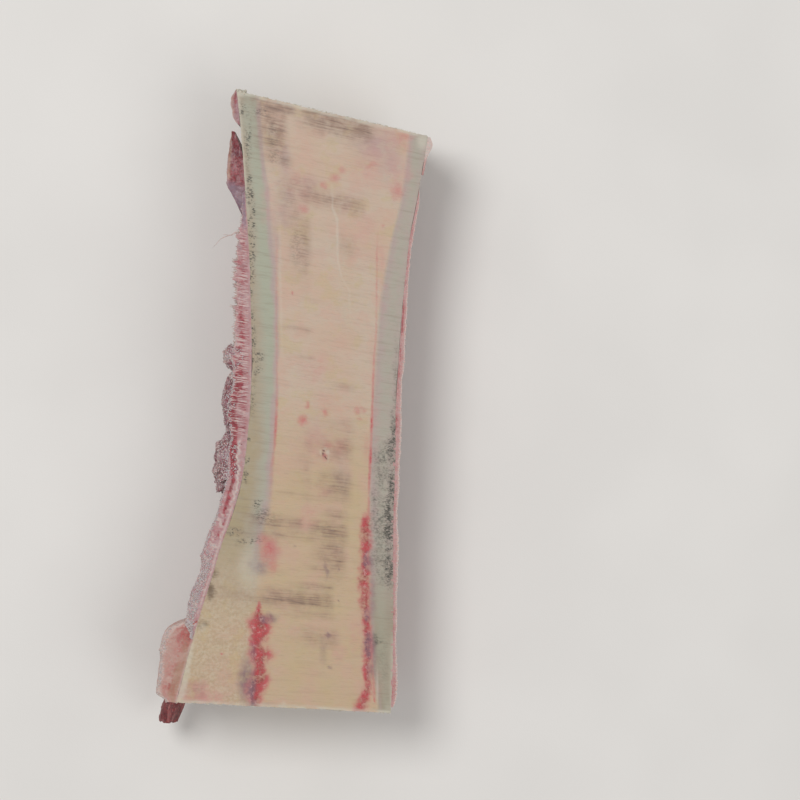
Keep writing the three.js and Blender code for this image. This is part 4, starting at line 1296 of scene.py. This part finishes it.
def sinew_flap():
    """The flap of sinew and meat at the upper left."""
    skin = tissue(FLAP_SHARES, flap_low, flap_high, flap_inner, flap_outer, (130, 36, 26))
    place = layered(skin, 0.6, 5)
    slanted = stacked(skin.share * LENGTH + 5 * skin.k, 0 * skin.k, skin.depth)
    lean = 0.72 + 0.5 * rough(place, 2.2, 114) + 0.35 * grain(slanted, (0.8, 1, 4), 118)
    lean = lean * (1 - smooth(skin.k, 0.78, 0.97)) * smooth(skin.share, 0.832, 0.85)
    # The flap's low end is silver in full: silverskin, whose darkened colour there also paints shade
    silver = 1 - smooth(skin.share, 0.836, 0.856) + 0.4 * smooth(rough(place, 3, 115), 0.1, 0.6)
    rim = 0.5 * smooth(skin.k, 0.84, 1) * smooth(skin.share, 0.83, 0.85) * np.exp(-skin.depth / 1.5)
    tan = 0.8 * smooth(skin.k, 0.72, 0.9) * smooth(skin.share, 0.84, 0.86)
    tan = tan * (0.6 + 0.8 * rough(skin.points, 3, 119))
    outside = (skin.k == 1) * smooth(skin.depth, 0.5, 2)
    silver = np.maximum(silver, outside * (0.5 + 0.9 * rough(skin.points, (3, 7, 2), 110)))
    lean = np.maximum(lean, outside * (0.2 + 1.1 * rough(skin.points, (2, 6, 1.6), 109)))
    skin.move(z=(skin.j == 1) * (0.25 * rough(skin.points, 1.4, 116) - 0.25 * np.sin(np.pi * skin.k)))
    masks = flesh_masks(skin, lean=lean, silver=silver, rim=rim, tan=tan)
    add_skin("sinew_flap_skin", skin, flesh["sinew_flap"], masks, "sinew", "sinew_flap")


def corner_low(share):
    """The corner membrane's lower side, as a share of a half turn."""
    return 0.865 + 0.09 * (1 - smooth(share, 0.94, 0.975)) + 0.03 * line_noise(share * LENGTH, 3, 121)


def corner_outer(share, angle):
    """How far the corner membrane's outside stands off the bone."""
    uneven = 0.9 + 0.15 * line_noise(share * LENGTH, 1.6, 122)
    return 0.35 + 2 * np.sqrt(smooth(angle / np.pi, 0.86, 0.97)) * uneven * fade(share, 0.94, 1.004, 0.018)


def corner_membrane():
    """The thin strip of membrane at the top left corner."""
    skin = tissue((0.945, 1.0), corner_low, 1, -0.02, corner_outer, (60, 30, 9), 0.8)
    skin.move(z=(skin.j == 1) * (0.1 * rough(skin.points, 0.9, 123) - 0.1))
    lean = 0.5 * fade(skin.k, 0.1, 0.75, 0.25) + 0.5 * rough(skin.points, 1.8, 124)
    tan = 0.6 * smooth(skin.k, 0.3, 1) * (0.8 + 0.6 * rough(skin.points, 2.5, 125))
    rim = 0.5 * smooth(skin.k, 0.7, 1) * np.exp(-skin.depth)
    masks = flesh_masks(skin, lean=lean, rim=rim, tan=tan)
    add_skin("corner_membrane_skin", skin, flesh["sinew_flap"], masks, "sinew", "corner_membrane")


RIGHT_THICKNESS = through((0, 1.5), (0.25, 1.9), (0.5, 1.8), (0.7, 1.3), (0.85, 0.8))
RIGHT_SHARES = (0.003, 0.9)


def right_high(share):
    """The right membrane's lower side on the back, as a share of a half turn."""
    stroke = share * LENGTH
    tongues = 0.02 * bumps(share, 1, 12) + 0.025 * line_noise(stroke, 9, 133)
    return 0.3 + tongues + 0.008 * line_noise(stroke, 2, 134)


def right_outer(share, angle):
    """How far the right membrane's outside stands off the bone."""
    place = unrolled(share, angle, 12)
    body = RIGHT_THICKNESS(share) * (1 - 0.22 * angle) * (1 + 0.2 * bumps(share, angle, 6))
    edge = 0.28 * (beads(share * LENGTH, 0.7, 131) - 0.5) * (1 - from_edge(share, angle, 2))
    body = body + edge + 0.12 * rough(place, 1.6, 132)
    body = body + 0.35 * rough(place, (12, 2, 1), 139) * smooth(angle, 0.1, 0.3)
    low = right_high(share) - angle / np.pi
    whole = fade(share, 0.002, 0.905, 0.03) * smooth(low / 0.03)
    return np.maximum(body * np.sqrt(whole), 0.06)


def right_membrane():
    """The thin pink and white edge along the right side."""
    skin = tissue(RIGHT_SHARES, 0, right_high, -0.02, right_outer, (640, 34, 8), 4)
    on_face = skin.j == 0
    line = peak(skin.k, 0.24, 0.18) * (0.2 + 0.35 * fade(skin.share, 0.46, 0.78, 0.12))
    line = line * (1 + 0.6 * rough(layered(skin, 0.3, 5), 3, 135))
    lean = np.where(on_face, line, 0.2 + 0.55 * rough(skin.points, (4, 14, 4), 136))
    silver = 0.7 * smooth(rough(skin.points, (6, 18, 6), 137), -0.1, 0.4) * (~on_face)
    skin.move(z=on_face * (0.12 * rough(skin.points, 0.7, 138, 2) - 0.06))
    frost = 0.8 * smooth(skin.k, 0.6, 0.9) * np.exp(-skin.depth / 1.5)
    rim = 0.9 * smooth(skin.k, 0.66, 0.95) * on_face
    masks = flesh_masks(skin, lean=lean, silver=silver, frost=frost, rim=rim)
    add_skin("right_membrane_skin", skin, flesh["right_membrane"], masks, "membrane", "right_membrane")


KNOB = through((0.93, 0.4), (0.95, 0.6), (0.968, 0.9), (0.98, 1.6), (0.99, 1.5), (0.998, 0.8))


def knob_high(share):
    """The knob's lower side on the back, as a share of a half turn."""
    return 0.035 + 0.07 * fade(share, 0.945, 1.01, 0.03) + 0.012 * line_noise(share * LENGTH, 1.6, 140)


def knob_outer(share, angle):
    """How far the knob's outside stands off the bone."""
    body = KNOB(share) * (1 - 1.5 * angle) * np.sqrt(smooth(knob_high(share) - angle / np.pi, 0, 0.04))
    return np.maximum(body + 0.15 * line_noise(share * LENGTH, 0.9, 141), 0.04)


def corner_gristle():
    """The small pale knob at the top right corner."""
    skin = tissue((0.93, 0.998), 0, knob_high, -0.02, knob_outer, (70, 20, 10), 0.6)
    skin.move(z=(skin.j == 0) * (0.2 * rough(skin.points, 0.9, 142) + 0.05 * np.sin(np.pi * skin.k)))
    lean = 0.12 * (0.5 * peak(skin.k, 0.25, 0.2) + 0.3 * rough(skin.points, 1.2, 143))
    tan = 0.4 + 0.6 * rough(skin.points, 3, 144)
    masks = flesh_masks(skin, lean=lean, rim=smooth(skin.share, 0.95, 0.97), tan=0.5 * tan)
    add_skin("corner_gristle_knob", skin, flesh["right_membrane"], masks, "fat", "corner_gristle")


# Each strip on the back: its node, slot, flesh, shares, sides as shares of a half turn, how far those
# wander, thickness in mm, seed, and how silvery it is
BACK_STRIPS = (
    ("back_meat", "muscle", "dried_meat", (0.2, 0.74), (0.43, 0.535), (0.015, 0.012), 2.1, 7, 0.1),
    ("back_sinew", "sinew", "dried_sinew", (0.27, 0.84), (0.335, 0.4), (0.008, 0.012), 1.2, 8, 0.5),
)
GROUND = 0.4  # the lowest height in mm of a strip on the back


def back_strip(node, slot, flesh_name, shares, angles, wander, thickness, seed, silver):
    """A low strip of meat or sinew along the rounded back."""
    centre = np.pi * 0.5 * (angles[0] + angles[1])
    width = np.pi * (0.5 * (angles[1] - angles[0]) + wander[1])

    def low(share):
        ragged = 0.006 * line_noise(share * LENGTH, 3, seed + 150)
        return angles[0] + wander[0] * bumps(share, 0, 11) + ragged

    def high(share):
        ragged = 0.006 * line_noise(share * LENGTH, 3, seed + 160)
        return angles[1] + wander[1] * bumps(share, 1, 12) + ragged

    def outer(share, angle):
        crown = 1 - np.minimum(np.abs(angle - centre) / width, 1) ** 2
        body = thickness * (1 + 0.35 * bumps(share, angle, seed)) * fade(share, *shares, 0.08) * crown
        uneven = (0.2 + 0.25 * body) * rough(unrolled(share, angle, 24), (3, 1.6, 1), seed + 170)
        return 0.15 + body * 1.15 + uneven

    skin = tissue(shares, low, high, -0.02, outer, (420, 26, 4))
    skin.points[:, 2] = np.maximum(skin.points[:, 2], GROUND)
    lean = 0.75 + 0.5 * rough(skin.points, (2, 6, 2), seed + 180) - silver
    silvery = silver + 0.5 * rough(skin.points, (4, 9, 4), seed + 190)
    masks = flesh_masks(skin, lean=lean, silver=silvery, comb=0.25, frost=0.12)
    add_skin(node + "_strip", skin, flesh[flesh_name], masks, slot, node)


# Loose strands, grains and chips
def tube(points, radii, sides=6):
    """Points and faces of a tapering round strand along a path in mm."""
    points = np.asarray(points, float)
    ahead = np.gradient(points, axis=0)
    ahead = ahead / np.linalg.norm(ahead, axis=1, keepdims=True)
    side = np.cross(ahead, [0.1, 0.05, 1.0])
    side = side / np.linalg.norm(side, axis=1, keepdims=True)
    up = np.cross(side, ahead)
    turn = np.linspace(0, 2 * np.pi, sides, endpoint=False)
    ring = side[:, None] * np.cos(turn)[None, :, None] + up[:, None] * np.sin(turn)[None, :, None]
    vertices = (points[:, None] + ring * np.asarray(radii)[:, None, None]).reshape(-1, 3)
    faces = []
    for i in range(len(points) - 1):
        for k in range(sides):
            a, b = i * sides + k, i * sides + (k + 1) % sides
            faces.append((a, b, b + sides, a + sides))
    for first in (0, (len(points) - 1) * sides):
        fan = [(first, first + k, first + k + 1, first + k + 1) for k in range(1, sides - 1)]
        faces.extend(fan if first else [(a, c, b, b) for a, b, c, _ in fan])
    return vertices, np.array(faces)


def joined(parts):
    """One mesh's points and faces from several."""
    points, faces, before = [], [], 0
    for p, f in parts:
        points.append(p)
        faces.append(f + before)
        before += len(p)
    return np.concatenate(points), np.concatenate(faces)


def loose_masks(points, **given):
    """The flesh masks of loose bits, at zero unless given."""
    masks = {name: np.zeros(len(points)) for name in ("lean", "comb", "silver", "stroke")}
    masks.update(given)
    return masks


STRANDS = 520
WISP = (
    (-18.4, 51.9, 28.4), (-19.6, 51.7, 28.6), (-20.6, 51.0, 28.7), (-21.6, 50.9, 28.4), (-22.8, 50.4, 28.0),
    (-23.9, 49.9, 27.6), (-24.8, 48.9, 27.4), (-25.6, 48.0, 27.2), (-26.4, 47.2, 27.0),
)
WISP_RADII = (0.28, 0.2, 0.17, 0.15, 0.12, 0.1, 0.08, 0.06, 0.03)
WISP_BRANCH = ((-21.6, 50.9, 28.4), (-22.4, 51.2, 28.7), (-23.2, 51.0, 28.9))
PAD_TIP = ((-40.2, -72.6, 28.2), (-41.4, -73.0, 28.0), (-42.4, -73.7, 27.7))


def fringe_strands():
    """The torn fibres on the meat's outer edge, the loose wisp, and the pad's small tip."""
    random = np.random.default_rng(5)
    t = np.linspace(0, 1, 5)
    parts = []
    for _ in range(STRANDS):
        share = random.uniform(0.46, 0.82)
        angle = np.pi * random.uniform(0.95, 0.999)
        lift = float(fringe_lift(share, angle))
        length = random.uniform(0.15, 0.8) * (1.5 if 0.53 < share < 0.72 else 1)
        lean, drop = random.normal(0, 0.0016), random.uniform(0, 0.02)
        shares = share + lean * t**1.5
        x, depth = on_bone(shares, angle - drop * t**2, lift - 0.9 + (length + 0.9) * t)
        path = placed(shares, x, np.maximum(depth, 0.05))
        parts.append(tube(path, random.uniform(0.2, 0.42) * (1 - t) ** 0.7 + 0.03, 5))
    parts.append(tube(WISP, WISP_RADII))
    parts.append(tube(WISP_BRANCH, (0.11, 0.08, 0.03)))
    parts.append(tube(PAD_TIP, (0.9, 0.75, 0.3), 8))
    points, faces = joined(parts)
    masks = loose_masks(points, frost=0.6, rim=0.85 + 0.3 * rough(points, 2, 201))
    piece = make_piece("meat_strands", points, faces, [flesh["fringe_meat"]], 0, masks, 70)
    rides(piece, "meat")


CRUMBS = {"fringe": 1740, "scrap_1": 290, "scrap_2": 580, "scrap_3": 1290, "pad": 100}


def frost_crumbs():
    """The grains of frost on the scraps and on the outer edges of fringe and pad."""
    random = np.random.default_rng(11)
    grid = np.stack(ball(3), -1)
    used, quads = np.unique(lattice_sides(grid.shape[:3])[0], return_inverse=True)
    shape, quads = grid.reshape(-1, 3)[used], quads.reshape(-1, 4)
    parts = []
    for name, count in CRUMBS.items():
        points, chance = FROSTED[name]
        for place in points[random.choice(len(points), count, p=chance)]:
            size = random.uniform(0.1, 0.26) * random.uniform(0.7, 1.2, 3)
            parts.append((shape * size * random.uniform(0.8, 1.15, (len(shape), 1)) + place, quads))
    points, faces = joined(parts)
    lean = np.clip(0.1 + 0.4 * grain(points, 1.1, 212), 0, 1)
    rim = np.clip(0.35 + 0.5 * grain(points, 0.8, 211), 0, 1)
    masks = loose_masks(points, lean=lean, frost=0.8, rim=rim)
    piece = make_piece("frost_grains", points, faces, [flesh["frost_crumbs"]], 0, masks, 70)
    rides(piece, "meat")


END_CHIPS, CORNER_CHIPS, SIDE_CHIPS = 420, 34, 120
CHIP = np.array([(1, 0, 0), (-1, 0, 0), (0, 1, 0), (0, -1, 0), (0, 0, 1), (0, 0, -1)], float)
CHIP_SIDES = np.array([
    (0, 2, 4, 4), (2, 1, 4, 4), (1, 3, 4, 4), (3, 0, 4, 4),
    (2, 0, 5, 5), (1, 2, 5, 5), (3, 1, 5, 5), (0, 3, 5, 5),
])


def saw_burrs():
    """The frayed chips that the saw left along the edges of the bone's faces."""
    random = np.random.default_rng(8)
    parts = []

    def chip(share, x, depth, size, push):
        turn = np.linalg.qr(random.normal(size=(3, 3)))[0]
        body = CHIP * random.uniform(0.5, 1.2, (6, 1)) * size * np.array([1.3, 0.8, 0.5])
        place = placed(share, x, depth) + push
        parts.append((body @ turn + place, CHIP_SIDES))

    for _ in range(END_CHIPS):
        wide = random.random() < 0.5
        share = 0.0 if wide else 1.0
        left, right = float(LEFT_EDGE(share)), float(RIGHT_EDGE(share))
        x = left + (right - left) * random.random()
        size = random.uniform(0.12, 0.34)
        out = random.uniform(-0.1, 0.22) * (-1 if wide else 1)
        chip(share, x, random.exponential(0.25), size, (0, out, 0.02))
    for _ in range(CORNER_CHIPS):
        x, depth = random.uniform(-19, -16.3), random.uniform(0, 0.9)
        size, out = random.uniform(0.4, 0.8), random.uniform(-0.5, 0.7)
        chip(1.0, x, depth, size, (0, out, 0))
    for _ in range(SIDE_CHIPS):
        share = random.random() ** 0.8
        depth, size, out = random.uniform(0, 0.4), random.uniform(0.1, 0.22), random.uniform(0, 0.2)
        chip(share, float(RIGHT_EDGE(share)), depth, size, (out, 0, 0))
    points, faces = joined(parts)
    masks = {"wall": 0.7, "pale": 1.05 + 0.15 * grain(points, 3, 213)}
    piece = make_piece("saw_burrs", points, faces, [bone_face], 0, masks, 30)
    rides(piece, "compact_bone")


bone_wall()
spongy_bone()
marrow()
meat_fringe()
fat_scraps()
ligament_pad()
muscle_stub()
sinew_flap()
corner_membrane()
right_membrane()
corner_gristle()
for strip in BACK_STRIPS:
    back_strip(*strip)
fringe_strands()
frost_crumbs()
saw_burrs()

# Camera, light and floor: the photograph looks straight down on the sawn faces
VIEW_X, VIEW_Y, VIEW_WIDTH = 30.0, 1.5, 240.0  # the picture's middle and width on the sawn face, in mm
LENS, SENSOR = 135.0, 36.0
SKY_STRENGTH = 0.42
FLOOR_HALF, FLOOR_DROP = 3.0, 0.0002  # metres


def add_camera():
    """A camera straight above the sawn faces."""
    data = bpy.data.cameras.new("camera")
    data.lens, data.sensor_width = LENS, SENSOR
    data.clip_start, data.clip_end = 0.05, 10
    camera = bpy.data.objects.new("camera", data)
    middle = to_frame([VIEW_X, VIEW_Y, FACE_HEIGHT])
    camera.location = middle + np.array([0, 0, VIEW_WIDTH / 1000 * LENS / SENSOR])
    bpy.context.scene.collection.objects.link(camera)
    bpy.context.scene.camera = camera


def add_light(name, place, size, power):
    """A round soft light that faces the middle: place and size in metres, power in watts."""
    data = bpy.data.lights.new(name, "AREA")
    data.shape, data.size, data.energy = "DISK", size, power
    light = bpy.data.objects.new(name, data)
    light.location = place
    light.rotation_mode = "QUATERNION"
    light.rotation_quaternion = (-light.location).to_track_quat("-Z", "Y")
    bpy.context.scene.collection.objects.link(light)


def add_surroundings():
    """The sky, two soft lights and the floor."""
    scene = bpy.context.scene
    scene.world = bpy.data.worlds.new("studio")
    scene.world.use_nodes = True
    background = scene.world.node_tree.nodes["Background"]
    background.inputs["Color"].default_value = (1, 1, 1, 1)
    background.inputs["Strength"].default_value = SKY_STRENGTH
    add_light("key", (-0.5, 0.45, 1.2), 0.7, 9.0)
    add_light("fill", (0.8, -0.4, 1.0), 0.9, 4.0)
    scene.view_settings.view_transform = "Standard"
    scene.view_settings.look = "None"
    mesh = bpy.data.meshes.new("floor")
    corners = [(FLOOR_HALF * x, FLOOR_HALF * y, 0) for x, y in ((-1, -1), (1, -1), (1, 1), (-1, 1))]
    mesh.from_pydata(corners, [], [(0, 1, 2, 3)])
    g = Graph("floor_paper")
    colour = g.blend(g.ramp(g.noise(60, 2), 0.3, 0.7), srgb(226, 223, 219), srgb(222, 219, 215))
    mesh.materials.append(g.finish(colour, 0.85, g.bump(g.noise(0.5, 2), 0.02)))
    floor = bpy.data.objects.new("floor", mesh)
    floor.location.z = -FLOOR_DROP
    scene.collection.objects.link(floor)


add_camera()
add_surroundings()
